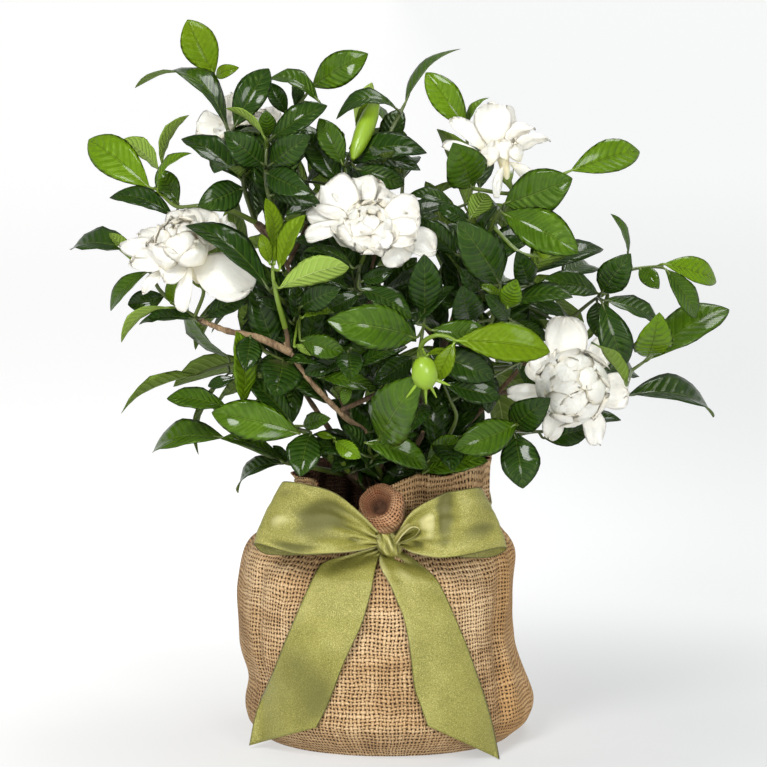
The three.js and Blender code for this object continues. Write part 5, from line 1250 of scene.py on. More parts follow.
def blades_object(name, blades, tree, sizes):
    """The blades as points that carry their sizes, grown into skins."""
    made = mesh_object(name, [b.root * MM for b in blades])
    mesh = made.data
    own = {"root": lambda b: b.root * MM, "along": lambda b: (b.tip - b.root) * MM, "side": lambda b: b.side,
           "face": lambda b: b.normal, "length": lambda b: b.length * MM, "half": lambda b: b.width / 2 * MM,
           "arch": lambda b: b.arch, "fold": lambda b: b.fold}
    for key, measure in own.items():
        set_values(mesh, key, [measure(b) for b in blades])
    random = random_from(sum(map(ord, name)))
    set_values(mesh, "phase", [6.28 * random() for _ in blades])
    for key, low, high in RANGES:
        given = [getattr(b, key, None) for b in blades]
        drawn = [low + (high - low) * random() for _ in blades]
        set_values(mesh, key, [d if g is None else g for g, d in zip(given, drawn)])
    tones = [b.age + 0.5 * (random() - 0.5) if b.kind == "leaf" else b.age for b in blades]
    set_values(mesh, "tone", tones)
    return grown(made, tree, sizes)


def stems_object(name, lines, tree, sizes):
    """Lines are rows of points, a radius for each, and a tone."""
    points, edges, radii, tones = [], [], [], []
    for line, radius, tone in lines:
        first = len(points)
        points.extend(line)
        edges.extend((first + k, first + k + 1) for k in range(len(line) - 1))
        radii.extend(radius)
        tones.extend([tone] * len(line))
    made = mesh_object(name, np.array(points) * MM, edges=edges)
    set_values(made.data, "radius", np.array(radii) * MM)
    set_values(made.data, "tone", tones)
    return grown(made, tree, sizes)


def joined(name, parts):
    """Several objects as one."""
    bpy.ops.object.select_all(action="DESELECT")
    for part in parts:
        part.select_set(True)
    bpy.context.view_layer.objects.active = parts[0]
    if len(parts) > 1:
        bpy.ops.object.join()
    parts[0].name = parts[0].data.name = name
    return parts[0]


def dress(made, slot, *nodes):
    """Gives a piece its place in the frame: the nodes it stands for and its body. Its slot is not used."""
    if nodes:
        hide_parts(*nodes)
    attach(made, "root")


# Settings that a user would change
def colour(name, description, default):
    return FloatVectorProperty(name=name, description=description, default=default, subtype="COLOR",
                               min=0, max=1, size=3)


def number(name, description, default, low, high, **more):
    return FloatProperty(name=name, description=description, default=default, min=low, max=high, **more)


class FoliageSettings(bpy.types.PropertyGroup):
    old_green: colour("Old leaf", "Colour of the darkest leaves", (0.012, 0.036, 0.003))
    green: colour("Leaf", "Colour of full-grown leaves", (0.042, 0.094, 0.003))
    bright_green: colour("Bright leaf", "Colour of leaves in their first year", (0.10, 0.19, 0.004))
    lime: colour("Young leaf", "Colour of leaves that have just opened", (0.1, 0.165, 0.004))
    ribs: number("Ribs", "Side veins along a leaf", 9.5, 4, 16)
    relief: number("Relief", "How far the blade swells between its veins, in mm", 1.1, 0, 3)
    thickness: number("Thickness", "Thickness of a leaf in mm", 0.55, 0.2, 2)


class BloomSettings(bpy.types.PropertyGroup):
    white: colour("White", "Colour of the petals", (0.82, 0.785, 0.69))
    cream: colour("Cream", "Colour deep in the bloom", (0.84, 0.76, 0.52))
    thickness: number("Thickness", "Thickness of a petal in mm", 0.6, 0.2, 2)


class WoodSettings(bpy.types.PropertyGroup):
    sides: IntProperty(name="Sides", description="Faces round a stem", default=10, min=5, max=24)
    slender: number("Slender", "Thickness of the boughs against their solids", 0.72, 0, 1, subtype="FACTOR")


class SackSettings(bpy.types.PropertyGroup):
    dark: colour("Dark thread", "Colour of the darkest threads", (0.22, 0.12, 0.05))
    middle: colour("Thread", "Colour of most threads", (0.49, 0.315, 0.155))
    pale: colour("Pale thread", "Colour of the palest threads", (0.82, 0.62, 0.38))
    pitch: number("Thread pitch", "Distance from thread to thread in mm", 2.6, 1, 6)


class RibbonSettings(bpy.types.PropertyGroup):
    # The satin as painted in shade, in an even light and at its brightest sheen.
    shade: colour("Shade", "Satin in its darkest places", (0.135, 0.13, 0.018))
    olive: colour("Olive", "Satin in an even light", (0.25, 0.235, 0.042))
    light: colour("Light", "Satin in its brightest places", (0.38, 0.365, 0.095))


class PotSettings(bpy.types.PropertyGroup):
    chips: number("Chips", "Chips of bark on a square metre of soil", 30000, 0, 100000)


class StageSettings(bpy.types.PropertyGroup):
    light: number("Key light", "Power of the main light", 38, 0, 400, unit="POWER")
    ambient: number("Ambient", "Strength of the light from above", 0.3, 0, 3)


# Pieces
def mean_age(shoot):
    return sum(leaf.age for leaf in shoot["leaves"]) / len(shoot["leaves"])


def leaf_groups(shoots):
    """Which shoots are young, which stand in front and which at the back."""
    groups = {"front_leaves": [], "young_leaves": [], "back_leaves": []}
    for name, shoot in shoots.items():
        group = "young_leaves" if mean_age(shoot) > 1.6 else "front_leaves"
        if name.startswith(("shoot_back", "shoot_inside")):
            group = "back_leaves"
        groups[group].append(name)
    return groups


def stalks_of(name, shoot, blooms):
    """The stem, leaf stalks, bud and bloom stalks of a shoot, as lines with radii and a tone."""
    points = shoot["points"]
    tone = 0.3 + 0.5 * mean_age(shoot)
    lines = [stalk_through(points, 4 * len(points), SHOOT["foot"], SHOOT["tip"] * 0.7, tone)]
    lines.extend(leaf_stalk(leaf) for leaf in shoot["leaves"])
    if shoot.get("bud"):
        lines.extend(bud_lines(shoot["bud"]))
    for bloom in blooms.values():
        if bloom["carrier"] == name:
            lines.extend(calyx_lines(bloom, points))
    return lines


def stalk_through(points, count, foot, end, tone):
    """A smooth line with a radius at its foot and one at its end, and its tone."""
    return curve_through(points, count), np.linspace(foot, end, count), tone


def leaf_stalk(leaf):
    base = lerp(leaf.root, leaf.tip, 0.12) + leaf.normal * (leaf.arch * leaf.length * 0.42)
    return stalk_through([leaf.stalk, leaf.root, base], 8, 1.0, 0.62, leaf.age * 0.7 + 0.3)


BUD_PROFILE = ((-0.05, 0.1), (0.04, 0.28), (0.16, 0.4), (0.34, 0.48), (0.52, 0.5), (0.7, 0.44), (0.85, 0.31),
               (0.95, 0.16), (1, 0.03))


def bud_lines(plan):
    stalk = [behind_front(*row) for row in plan["stalk"]]
    tip = behind_front(*plan["tip"])
    body = [lerp(stalk[-1], tip, u) for u, _ in BUD_PROFILE]
    lines = [stalk_through(stalk, 10, 1.3, 1.3, 1.5)]
    lines.append((body, [r * plan["wide"] for _, r in BUD_PROFILE], 3))
    for x, z in plan["lobes"]:
        end = behind_front(x, z, plan["tip"][2])
        lines.append(stalk_through([body[4], lerp(body[4], end, 0.6), end], 8, 1.9, 0.4, 2.8))
    return lines


def calyx_lines(bloom, points):
    axis = bloom["axis"]
    end = bloom["foot"] - axis * GAP
    bend = end - axis * CALYX["bend"]
    path = curve_through([rooted_on(points, bend), bend, end], 10)
    lines = [(path, np.concatenate([np.full(7, CALYX["stalk"]), (1.7, 2.3, CALYX["flare"])]), 1.2)]
    for i in range(CALYX["lobes"]):
        out = turned(bloom["side"], axis, 2 * math.pi * i / CALYX["lobes"])
        root = end - axis * 2 + out * (CALYX["flare"] - 1.5)
        tip = end + axis * CALYX["lobe"] + out * (CALYX["flare"] + CALYX["apart"])
        lines.append(stalk_through([root, lerp(root, tip, 0.5) + out * 0.6, tip], 6, 1.0, 0.25, 1.6))
    return lines


class GARDENIA_OT_foliage(bpy.types.Operator):
    """Grow the leafy shoots"""
    bl_idname = "gardenia.foliage"
    bl_label = "Leafy shoots"

    def execute(self, context):
        p = context.scene.gardenia_foliage
        shoots, blooms, _, _, inner = grow()
        leaf, stalk = leaf_finish(p), stalk_finish()
        tree, stems = blade_tree("leaf"), stem_tree()

        def leafy(name, blades, lines, grid, sides):
            rows, columns = GRID[grid]
            sizes = {"Rows": rows, "Columns": columns, "Thickness": p.thickness * MM, "Material": leaf}
            skins = blades_object(name, blades, tree, sizes)
            sticks = stems_object(name + "_stalks", lines, stems, {"Sides": sides, "Material": stalk})
            return joined(name, [skins, sticks])

        slots = {"front_leaves": "leaf", "young_leaves": "young_leaf", "back_leaves": "leaf"}
        for group, names in leaf_groups(shoots).items():
            blades = [b for name in names for b in shoots[name]["leaves"]]
            lines = [line for name in names for line in stalks_of(name, shoots[name], blooms)]
            grid = "far_leaf" if group == "back_leaves" else "leaf"
            dress(leafy(group, blades, lines, grid, sides=8), slots[group], *names)
        lines = [leaf_stalk(blade) for blade in inner]
        dress(leafy("inner_leaves", inner, lines, "far_leaf", sides=6), "leaf")
        return {"FINISHED"}


class GARDENIA_OT_blooms(bpy.types.Operator):
    """Open the white blooms"""
    bl_idname = "gardenia.blooms"
    bl_label = "Blooms"

    def execute(self, context):
        p = context.scene.gardenia_blooms
        petal = petal_finish(p)
        tree, stems = blade_tree("petal"), stem_tree()
        for name, bloom in grow()[1].items():
            outer = [blade for blade in bloom["petals"] if not getattr(blade, "inner", False)]
            random = random_from(SEEDS["heart"] + len(outer))
            for blade in outer:
                blade.age = 0.2 * random()
                blade.wave = 0.18 + 0.14 * random()
                blade.curl = 0.1 * random() - 0.04
                blade.width *= 1.1
            blades = outer + heart_petals(name, bloom, random)
            rows, columns = GRID["petal"]
            sizes = {"Rows": rows, "Columns": columns, "Thickness": p.thickness * MM, "Material": petal}
            skins = blades_object(name + "_petals", blades, tree, sizes)
            throat = bloom["centre"] + bloom["axis"] * 1
            tube = (np.linspace(bloom["foot"], throat, 6), np.linspace(TUBE["foot"], TUBE["throat"], 6), 1)
            tube = stems_object(name + "_tube", [tube], stems, {"Sides": 14, "Material": petal})
            dress(joined(name + "_flower", [skins, tube]), "petal", name)
        return {"FINISHED"}


# A bloom's heart: how tall its ball is against its width, how far it stands up, its petals, and for the first
# and the last of them the angle of their edge and foot from the axis, the ball's size and the share that they
# span. Then how far the edges turn out, and their wave
HEARTS = {
    "rosette": (0.74, 0, 17, (80, -8), (118, 80), (1.0, 0.92), (0.78, 0.56), 0.0, 0.09),
    "ruffled": (0.6, 0, 17, (86, -4), (116, 78), (1.3, 0.9), (0.78, 0.56), 0.09, 0.14),
    "cup": (1.1, 0.85, 13, (66, -4), (112, 84), (1.2, 0.8), (0.74, 0.54), 0.07, 0.12),
    "open": (0.95, 0, 13, (64, -4), (112, 78), (1.0, 0.66), (0.6, 0.5), 0.1, 0.1),
}


def heart_petals(name, bloom, random):
    """The petals that lie over each other in a spiral round the closed middle, like a ball."""
    styles = {"bloom_right": "rosette", "bloom_top_right": "open", "bloom_left": "cup"}
    tall, rise, count, *spans, out, wave = HEARTS[styles.get(name, "ruffled")]
    centre = bloom["centre"] + bloom["axis"] * rise * bloom["heart"]
    petals = []
    for k in range(count):
        edge, foot, size, wide = (lerp(first, last, k / (count - 1)) for first, last in spans)
        edge += 7 * (random() - 0.5)
        side = turned(bloom["side"], bloom["axis"], SPIRAL * k + 0.3 * random())
        radius = size * bloom["heart"]
        angles = np.radians((foot, edge))
        root, tip = (centre + (side * math.sin(at) + bloom["axis"] * tall * math.cos(at)) * radius
                     for at in angles)
        face = turned(unit((root + tip) / 2 - centre), unit(tip - root), 0.13)
        fold = (math.sqrt(1 - wide**2) - 1) / wide / 1.15
        arch = math.tan(math.radians(foot - edge) / 4) / 2
        width = 2 * wide * radius * (0.92 + 0.16 * random())
        shape = {"arch": arch, "fold": fold, "curl": -out, "wave": wave, "age": 0.5 + 0.8 * k / count}
        petals.append(Blade("petal", root, tip, face, width, **shape))
    return petals


class GARDENIA_OT_wood(bpy.types.Operator):
    """Raise the trunk and its boughs"""
    bl_idname = "gardenia.wood"
    bl_label = "Trunk and boughs"

    def execute(self, context):
        p = context.scene.gardenia_wood
        _, _, boughs, twigs, _ = grow()
        lines = []
        for i, points in enumerate(boughs):
            ends = BARK["bough"], BARK["end"]
            radii = [p.slender * lerp(*ends, k / (len(points) - 1)) for k in range(len(points))]
            if i == 0:
                radii[:3] = [BARK["trunk"], BARK["trunk"], BARK["collar"]]
            count = 6 * len(points)
            knots = 1 + 0.12 * np.sin(np.arange(count) * 1.7 + i) * (np.arange(count) > 8)
            radii = curve_through(np.array(radii), count) * knots
            # Painted shade: boughs after the first two get tone 0, darker, as they lie in the crown's shade.
            lines.append((curve_through(points, count), radii, float(i < 2)))
        for points in twigs:
            lines.append((curve_through(points, 10), np.linspace(1, p.slender, 10) * BARK["twig"], 0))
        sizes = {"Sides": p.sides, "Material": bark_finish()}
        made = stems_object("trunk_and_boughs", lines, stem_tree(), sizes)
        dress(made, "bark", "woody_stems")
        return {"FINISHED"}


def on_sack(x, z, out):
    """A place on the sack's front as it is seen, and how far it stands from the cloth."""
    place = seen(x, z, TAIL["start"])
    for _ in range(4):
        r = float(sack_radius(math.atan2(place[1], place[0]), max(TAIL["free"], place[2])))
        place = seen(x, z, -max(TAIL["least"], math.sqrt(max(0, r * r - place[0] ** 2)) + out))
    if place[2] >= TAIL["floor"]:
        return place
    return lerp(EYE_POINT, place, (EYE_POINT[2] - TAIL["floor"]) / (EYE_POINT[2] - place[2]))


def hill(value, middle, wide):
    return np.exp(-(((value - middle) / wide) ** 2))


def half_turn(angle):
    """An angle between half a turn back and half a turn on."""
    return (angle + math.pi) % (2 * math.pi) - math.pi


def cloth_radius(angle, z):
    """The sack's radius with its creases."""
    heights = z + np.linspace(-5, 5, 5)[:, None, None] * np.ones_like(angle * z)[None]
    r = np.mean([sack_radius(angle, h) for h in heights], 0)
    turn = half_turn(angle)
    pleats = smooth(z, 96, 146)
    crease = np.sin(17 * angle + 1.3 * np.sin(3 * angle)) + 0.6 * np.sin(29 * angle + 2.1)
    slack = smooth(z, 6, 40) * (1 - smooth(z, 110, 140))
    sag = np.sin(3 * angle + z / 21) * np.sin(z / 13 + 2 * np.sin(2 * angle))
    foot = SACK["tuck"] * (1 - smooth(z, 0, 28)) * np.maximum(0, -np.sin(angle)) ** 2
    long_folds = 0.0
    for height, at, leaning, wide in SIDE_FOLDS:
        long_folds = long_folds + height * hill(turn, at + leaning * z / 900, wide)
    return r + 1.2 * pleats * crease + 1.1 * slack * sag - foot - long_folds * slack


def rim_at(angle):
    """The rim, with the low stretch that lets the stems show at its front."""
    turn = half_turn(angle)
    low = smooth(turn, -2.42, -2.24) * (1 - smooth(turn, -1.95, -1.75))
    rise = 5 * smooth(turn, -1.1, -0.6) * (1 - smooth(turn, -0.3, 0.2))
    return rim_height(angle) - SACK["dip"] * low + rise + 1.3 * np.sin(9 * angle) * (1 - low)


def curled_cloth(finish):
    """The corner of the sack that rolls over at the front like a cornet."""
    foot, mouth = (seen(*CURL[end]) for end in ("foot", "mouth"))
    left = vec(-1.0, 0.0, 0.0)
    turns = circle(CURL["sides"])
    # Each row: its share along the curl, radius, step ahead, step aside, and its curl value, a painted shade
    # that deepens to near black in the mouth.
    rows = [(t, 8 + 7.5 * t**0.6, 0.0, 0.0, 0.55) for t in np.linspace(0, 1, 12)]
    rows += [(1.0, 12.7 + 2.8 * math.cos(k), 3.6 * math.sin(k), 0.5 - 0.5 * math.cos(k), 0.7)
             for k in np.linspace(0.3, math.pi, 11)]
    rows += [(1.0, 9.6 - 5.5 * t, -10.0 * t, 1.0 + 0.4 * t, 0.9 + 0.9 * t) for t in np.linspace(0.1, 1, 9)]
    rings, curl = [], []
    for t, radius, ahead, aside, curl_shade in rows:
        facing = unit(lerp(UP * 0.8 + left * 0.5, VIEWER * 0.75 + UP * 0.6 + left * 0.35, t))
        side = unit(np.cross(facing, vec(0.9, 0.0, 0.3)))
        other = np.cross(facing, side)
        r = radius * (1 + 0.06 * np.sin(2 * turns + 1) + 0.04 * np.sin(5 * turns + 3 * t))
        centre = lerp(foot, mouth, t) + facing * ahead + seen(-3.6, 2.6, 0) * aside - seen(0, 0, 0) * aside
        rings.append(centre + np.outer(r * np.cos(turns), side) + np.outer(r * np.sin(turns), other))
        curl.extend([curl_shade] * len(turns))
    u = 0.3 + 0.017 * np.linspace(0, 6.28, len(turns) + 1)
    uv = [[(x, 0.0019 * i) for x in u] for i in range(len(rings))]
    made = shell("curled_cloth", rings, uv, finish, start=rings[0].mean(0), end=rings[-1].mean(0))
    set_values(made.data, "curl", curl + [0.5, 1.8])
    return made


class GARDENIA_OT_sack(bpy.types.Operator):
    """Wrap the pot in burlap"""
    bl_idname = "gardenia.sack"
    bl_label = "Burlap sack"

    def execute(self, context):
        burlap = burlap_finish(context.scene.gardenia_sack)
        angle = circle(SACK["sides"])
        low, high = SACK["neck"]
        top = rim_at(angle)
        neck = np.minimum(high, top - 8)

        def ring(z, inset):
            z = np.where(z > low, lerp(low, neck, (z - low) / (high - low)), z * np.ones_like(angle))
            return around(cloth_radius(angle[None], z[None])[0] - inset, angle, z)

        # Each ring, and how far it lies along the cloth from the sack's foot
        rows = [(ring(z, 0.0), z) for z in (0.0, 0.6, 1.8, 3.4, *np.linspace(5, high, 96))]
        flare = cloth_radius(angle[None], neck[None])[0]
        ruffle = 1.8 * np.sin(11 * angle) + 1.3 * np.sin(19 * angle + 1) + 1.5
        for inset, parts in ((0, (0.35, 0.7, 1.0)), (CLOTH, (1.0, 0.7, 0.35))):
            for part in parts:
                lip = around(flare + ruffle * part * part - inset, angle, lerp(neck, top, part))
                rows.append((lip, high + 8 * part))
        outer = len(angle) * (len(rows) - 3)
        rows += [(ring(z, CLOTH), z) for z in np.linspace(high, 20, 40)]
        rows.append((around(SACK["base"] - SACK["tuck"] - 2, angle, CLOTH), 0))
        u = np.linspace(0, 2 * math.pi * SACK["girth"] * MM, len(angle) + 1)
        uv = [[(x, (drop + SACK["base"]) * MM) for x in u] for _, drop in rows]
        rings = [row for row, _ in rows]
        made = shell("burlap_wrap", rings, uv, burlap, start=(0, 0, 0), end=(0, 0, CLOTH))
        inside = len(angle) * len(rows) - outer
        # The sack's inside gets a curl value of 2: painted shade, near black.
        set_values(made.data, "curl", [0.0] * outer + [2.0] * inside + [0.0, 2.0])
        made = joined("burlap_wrap", [made, curled_cloth(burlap)])
        dress(made, "burlap", "burlap_sack")
        return {"FINISHED"}


def ribbon_piece(name, rows, hollow, finish):
    """A strip of ribbon over rows of points across it, closed at its edges."""
    rows = np.asarray(rows, float)
    out = np.cross(np.gradient(rows, axis=1), np.gradient(rows, axis=0))
    out /= np.linalg.norm(out, axis=2, keepdims=True)
    half = RIBBON["thick"] / 2
    rings = np.concatenate([rows + out * half, (rows - out * half)[:, ::-1]], 1)
    wide = np.linspace(-RIBBON["half"], RIBBON["half"], rows.shape[1])
    steps = np.linalg.norm(np.diff(rows.mean(1), axis=0), axis=1)
    line = np.concatenate([[0], np.cumsum(steps)]) * MM
    rim = np.concatenate([wide, wide[::-1], wide[:1]])
    made = shell(name, rings, [[(x, y) for x in rim] for y in line], finish)
    # Each point keeps its painted shade and highlight on both skins.
    set_values(made.data, "hollow", np.concatenate([hollow, hollow[:, ::-1]], 1).ravel())
    return made


def cut_size(rows):
    """The mean width and the length of the ribbon that a strip was cut from, in metres."""
    width = np.mean(np.linalg.norm(rows[:, -1] - rows[:, 0], axis=1)) * MM
    length = np.sum(np.linalg.norm(np.diff(rows.mean(1), axis=0), axis=1)) * MM
    return round(float(width), 3), round(float(length), 3)


def loop_rows(name, rows):
    """A loop of the bow as rows of points across it, and the painted shade and highlight of each point in its
    folds and dents.
    """
    rows = np.array(rows, float)
    along, across = GRID["loop"]
    upper, lower = (curve_through([seen(*place) for place in rows[:, edge]], along)
                    for edge in ((0, 1, 4), (2, 3, 4)))
    row = np.linspace(0, len(rows) - 1, along)[:, None]
    s = np.linspace(0, 1, across)[None]
    grid = upper[:, None] + (lower - upper)[:, None] * s[..., None]
    out = np.cross(lower - upper, np.gradient(grid.mean(1), axis=0))
    out /= np.linalg.norm(out, axis=1, keepdims=True)
    centre = (upper.mean(0) + lower.mean(0)) / 2
    sign = np.sign(np.sum(out * (grid.mean(1) - centre), 1))[:, None]
    far = np.abs(grid.mean(1)[:, :1]) / 60
    pleats = (np.sin(s * 19 + far * 4) + 0.6 * np.sin(s * 34 - far * 6 + 1)) * np.exp(-far * 2.0)
    slack = np.sin(s * 5 + row * 1.4) * np.sin(row * 1.1 + 0.6) * np.minimum(1, far)
    lift = 1.8 * np.sin(math.pi * s) * np.minimum(1, far) + 1.8 * pleats + 0.8 * slack
    # Painted shading: shade in the pleats' troughs, a highlight on their crests.
    hollow = -0.5 * pleats - 0.25 * slack
    for at, aside, long, wide, deep in DENTS[name]:
        dent = np.exp(-((((row - at) / long) ** 2 + ((s - aside) / wide) ** 2) ** 1.8))
        lift = lift - deep * dent
        # Painted shade in each dent, darkest towards one side, and a painted highlight on its other rim.
        lean = 0.7 * (row - at) / long + 0.6 * (aside - s) / wide
        hollow = hollow + np.sign(deep) * dent * (0.9 + 1.1 * lean) * min(1, abs(deep) / 3)
    # Painted shade on the loop's inner half.
    inside = smooth(row, len(rows) * 0.5, len(rows) * 0.6)
    return grid + (out * sign)[:, None] * lift[..., None], np.clip(hollow + 0.5 * inside, -1, 1)


# Dents and puffs of the bow: the row and the share of the width where each lies, its reach along and across,
# and its depth. Each also paints shade into a dent and a highlight onto a puff
DENTS = {
    "ribbon_loop_left": (
        (2.0, 0.5, 1.15, 0.34, 8.5), (2.9, 0.93, 0.8, 0.08, 2.4), (3.6, 0.2, 0.6, 0.09, 1.4),
        (3.5, 0.62, 0.4, 0.14, -2.4), (0.9, 0.75, 0.4, 0.1, 2.0),
    ),
    "ribbon_loop_right": (
        (2.2, 0.42, -0.4, 0.5, 5.0), (1.5, 0.45, 0.3, 0.22, -3.2), (3.2, 0.7, 1.0, 0.16, 1.2),
        (0.9, 0.8, 0.35, 0.1, 2.6),
    ),
    "ribbon_tail_left": ((61, 0.7, 6, 0.8, 3.2), (50, 0.6, 6, 0.6, -1.2), (24, 0.2, 9, 0.2, 1.0)),
    "ribbon_tail_right": ((14, 0.7, 3.5, 0.4, 3.8), (19, 0.5, 4, 0.5, -2.6), (26, 0.8, 5, 0.3, 1.6)),
}


def tail_rows(name, rows):
    """A tail of the bow as rows of points across it, pleated where it leaves the knot, and its painted
    shading.
    """
    along, across = GRID["tail"]
    rows = curve_through(np.array(rows, float), along)
    s = np.linspace(0, 1, across)
    grid, hollow = [], []
    for k, (ax, az, bx, bz) in enumerate(rows):
        pleat = np.sin(s * 17 + 0.6) * math.exp(-k / 10) + 0.5 * np.sin(s * 10 + 2) * math.exp(-k / 22)
        wave = 0.8 * np.sin(s * 5 + k / 9) * math.sin(k / 9) + 1.9 * pleat
        wave = wave + lerp(0.8, TAIL["gap"], float(smooth(k, 0, 10)))
        fold = 0.0
        for at, aside, long, wide, deep in DENTS[name]:
            dent = hill(k - 12 * (s - aside), at, long) * hill(s, aside, wide)
            wave = wave - deep * dent
            # Painted shade in each dent, a painted highlight on each puff.
            fold = fold + 0.2 * deep * dent
        grid.append([on_sack(lerp(ax, bx, t), lerp(az, bz, t), w) for t, w in zip(s, wave)])
        # Painted shade in the pleats' troughs, a painted highlight on their crests.
        hollow.append(np.clip(fold - 0.8 * pleat - 0.15 * np.sin(s * 5 + k / 9) * math.sin(k / 9), -1, 1))
    return np.array(grid), np.array(hollow)


def band_piece(satin):
    """The ribbon's turn round the neck, crushed into lengthwise folds."""
    round_it, across = GRID["band"]
    angle = circle(round_it)
    part = np.linspace(0, 1, across)
    ripple = RIBBON["clear"] + 0.5 * np.sin(part * math.pi * 5)
    rings = []
    for share_up, out in [*zip(part, ripple + RIBBON["thick"]), *zip(part[::-1], ripple[::-1])]:
        z = lerp(RIBBON["low"], RIBBON["high"], share_up) + 1.2 * np.sin(angle + 0.6)
        r = np.mean([sack_radius(angle, z + k) for k in (-4, 0, 4)], 0) + out + 1.2
        rings.append(around(r, angle, z))
    half, last = RIBBON["crushed"], len(rings) - 1
    u = np.linspace(0, RIBBON["turn"], round_it + 1)
    uv = [[(lerp(-half, half, min(k, last - k) / (across - 1)), y) for y in u] for k in range(last + 2)]
    return shell("bow_band", rings[::-1], uv, satin, closed=True)


def knot_piece(satin):
    """The ribbon's turn round its own loops, with creases down its front."""
    place = seen(KNOT["x"], KNOT["z"], KNOT["y"])
    down, round_it = GRID["knot"]
    turns = circle(round_it)
    rings, hollow = [], []
    for t in np.linspace(0, math.pi, down)[1:-1]:
        crease = (np.sin(6 * turns + 2.2 * t) + 0.5 * np.sin(11 * turns - 1.4 * t)) * math.sin(t)
        r = math.sin(t) ** 0.5 * (1 + 0.11 * crease)
        x, y = KNOT["wide"] / 2 * r * np.cos(turns), KNOT["deep"] / 2 * r * np.sin(turns)
        lean = 2.6 * math.cos(t)
        z = place[2] - KNOT["tall"] / 2 * math.cos(t)
        rings.append(np.stack([place[0] + x + lean, place[1] + y, np.full(len(turns), z)], 1))
        # Painted shade in the creases' troughs, a painted highlight on their ridges.
        hollow.extend(np.clip(-0.6 * crease, -1, 1))
    u = 0.018 * np.sin(np.linspace(0, 6.28, len(turns) + 1))
    uv = [[(x, r * MM) for x in u] for r in range(len(rings))]
    made = shell("bow_knot", rings, uv, satin, start=rings[0].mean(0), end=rings[-1].mean(0))
    # The knot's two end points get a little painted shade.
    set_values(made.data, "hollow", hollow + [0.3, 0.3])
    return made


def crumple_piece(satin):
    """A small loop of ribbon that stands out beside the knot."""
    along, across = GRID["crumple"]
    line = curve_through([(4, 132), (9, 139), (15, 143.5), (19.5, 142), (17, 137.5), (8, 133)], along)
    part = np.linspace(0, 1, across)
    rows = np.array([[seen(x + 2 * w, z - 3 * w, -88 - 8 * w) for w in part] for x, z in line])
    # Painted highlight and shade along the small loop.
    lit = -0.7 * np.sin(np.linspace(0, 1.6 * math.pi, along))[:, None] + 0.5 * np.cos(part * 9)
    return ribbon_piece("bow_crumple", rows, np.clip(lit, -1, 1), satin)


class GARDENIA_OT_ribbon(bpy.types.Operator):
    """Tie the satin bow"""
    bl_idname = "gardenia.ribbon"
    bl_label = "Satin bow"

    def execute(self, context):
        satin = satin_finish(context.scene.gardenia_ribbon)
        band, knot = band_piece(satin), joined("bow_knot", [knot_piece(satin), crumple_piece(satin)])
        strips = [(name, *loop_rows(name, rows), "folded", "burlap_sack") for name, rows in LOOPS.items()]
        strips += [(name, *tail_rows(name, rows), "hung", "ribbon_knot") for name, rows in TAILS.items()]
        for name, rows, hollow, held, rest in strips:
            made = ribbon_piece("bow_" + name[7:], rows, hollow, satin)
            dress(made, "satin", name)
            cut_size(rows)
        dress(band, "satin", "ribbon_band")
        dress(knot, "satin", "ribbon_knot")
        return {"FINISHED"}


class GARDENIA_OT_pot(bpy.types.Operator):
    """Set the nursery pot and its soil inside the sack"""
    bl_idname = "gardenia.pot"
    bl_label = "Pot and soil"

    def execute(self, context):
        p = context.scene.gardenia_pot
        base, wide, wall = POT["base"], POT["rim"], POT["wall"]
        top = SEAT + POT["height"]
        lip, rim = top - POT["lip"], wide + POT["bead"] - 1
        profile = [(base - 1, SEAT), (base, SEAT + 1), (wide - 1.4, lip - 0.6), (rim - 0.6, lip),
                   (rim, lip + 0.6), (rim, top - 0.6), (rim - 0.6, top), (wide - wall, top),
                   (base - wall, SEAT + wall)]
        rings = [around(r, circle(GRID["pot"]), z) for r, z in profile]
        ends = (0, 0, SEAT), (0, 0, SEAT + wall)
        pot = shell("black_nursery_pot", rings, None, pot_finish(), *ends)
        dress(pot, "pot", "nursery_pot")
        dress(soil_piece(p), "soil", "potting_soil")
        return {"FINISHED"}


def soil_piece(p):
    """Soil with a rough top, and chips of bark strewn on it."""
    room = POT["wall"] + GAP
    low = SEAT + room
    angle = circle(GRID["pot"])
    taper = (POT["rim"] - POT["base"]) / POT["height"]
    rows = [(POT["base"] - room - 0.4 + taper * (low - SEAT), low)]
    edge = SOIL_TOP - 2
    reach = POT["base"] - room - 0.4 + taper * (edge - SEAT)
    rows += [(reach, edge)] + [(reach * k, edge + 3 * (1 - k)) for k in np.linspace(0.95, 0.12, 22)]
    rings = []
    for r, z in rows:
        lumps = 0 if z == low or r == reach else 1
        rough = 0.5 * np.sin(13 * angle + r) + 0.5 * np.sin(r * 0.8) + 0.35 * np.sin(29 * angle - r * 1.7)
        rings.append(around(r, angle, z + lumps * rough))
    finish = soil_finish()
    made = shell("soil_in_pot", rings, None, finish, start=(0, 0, low), end=(0, 0, SOIL_TOP + 1.5))
    return grown(made, chip_tree(), {"Density": float(p.chips), "Material": finish})


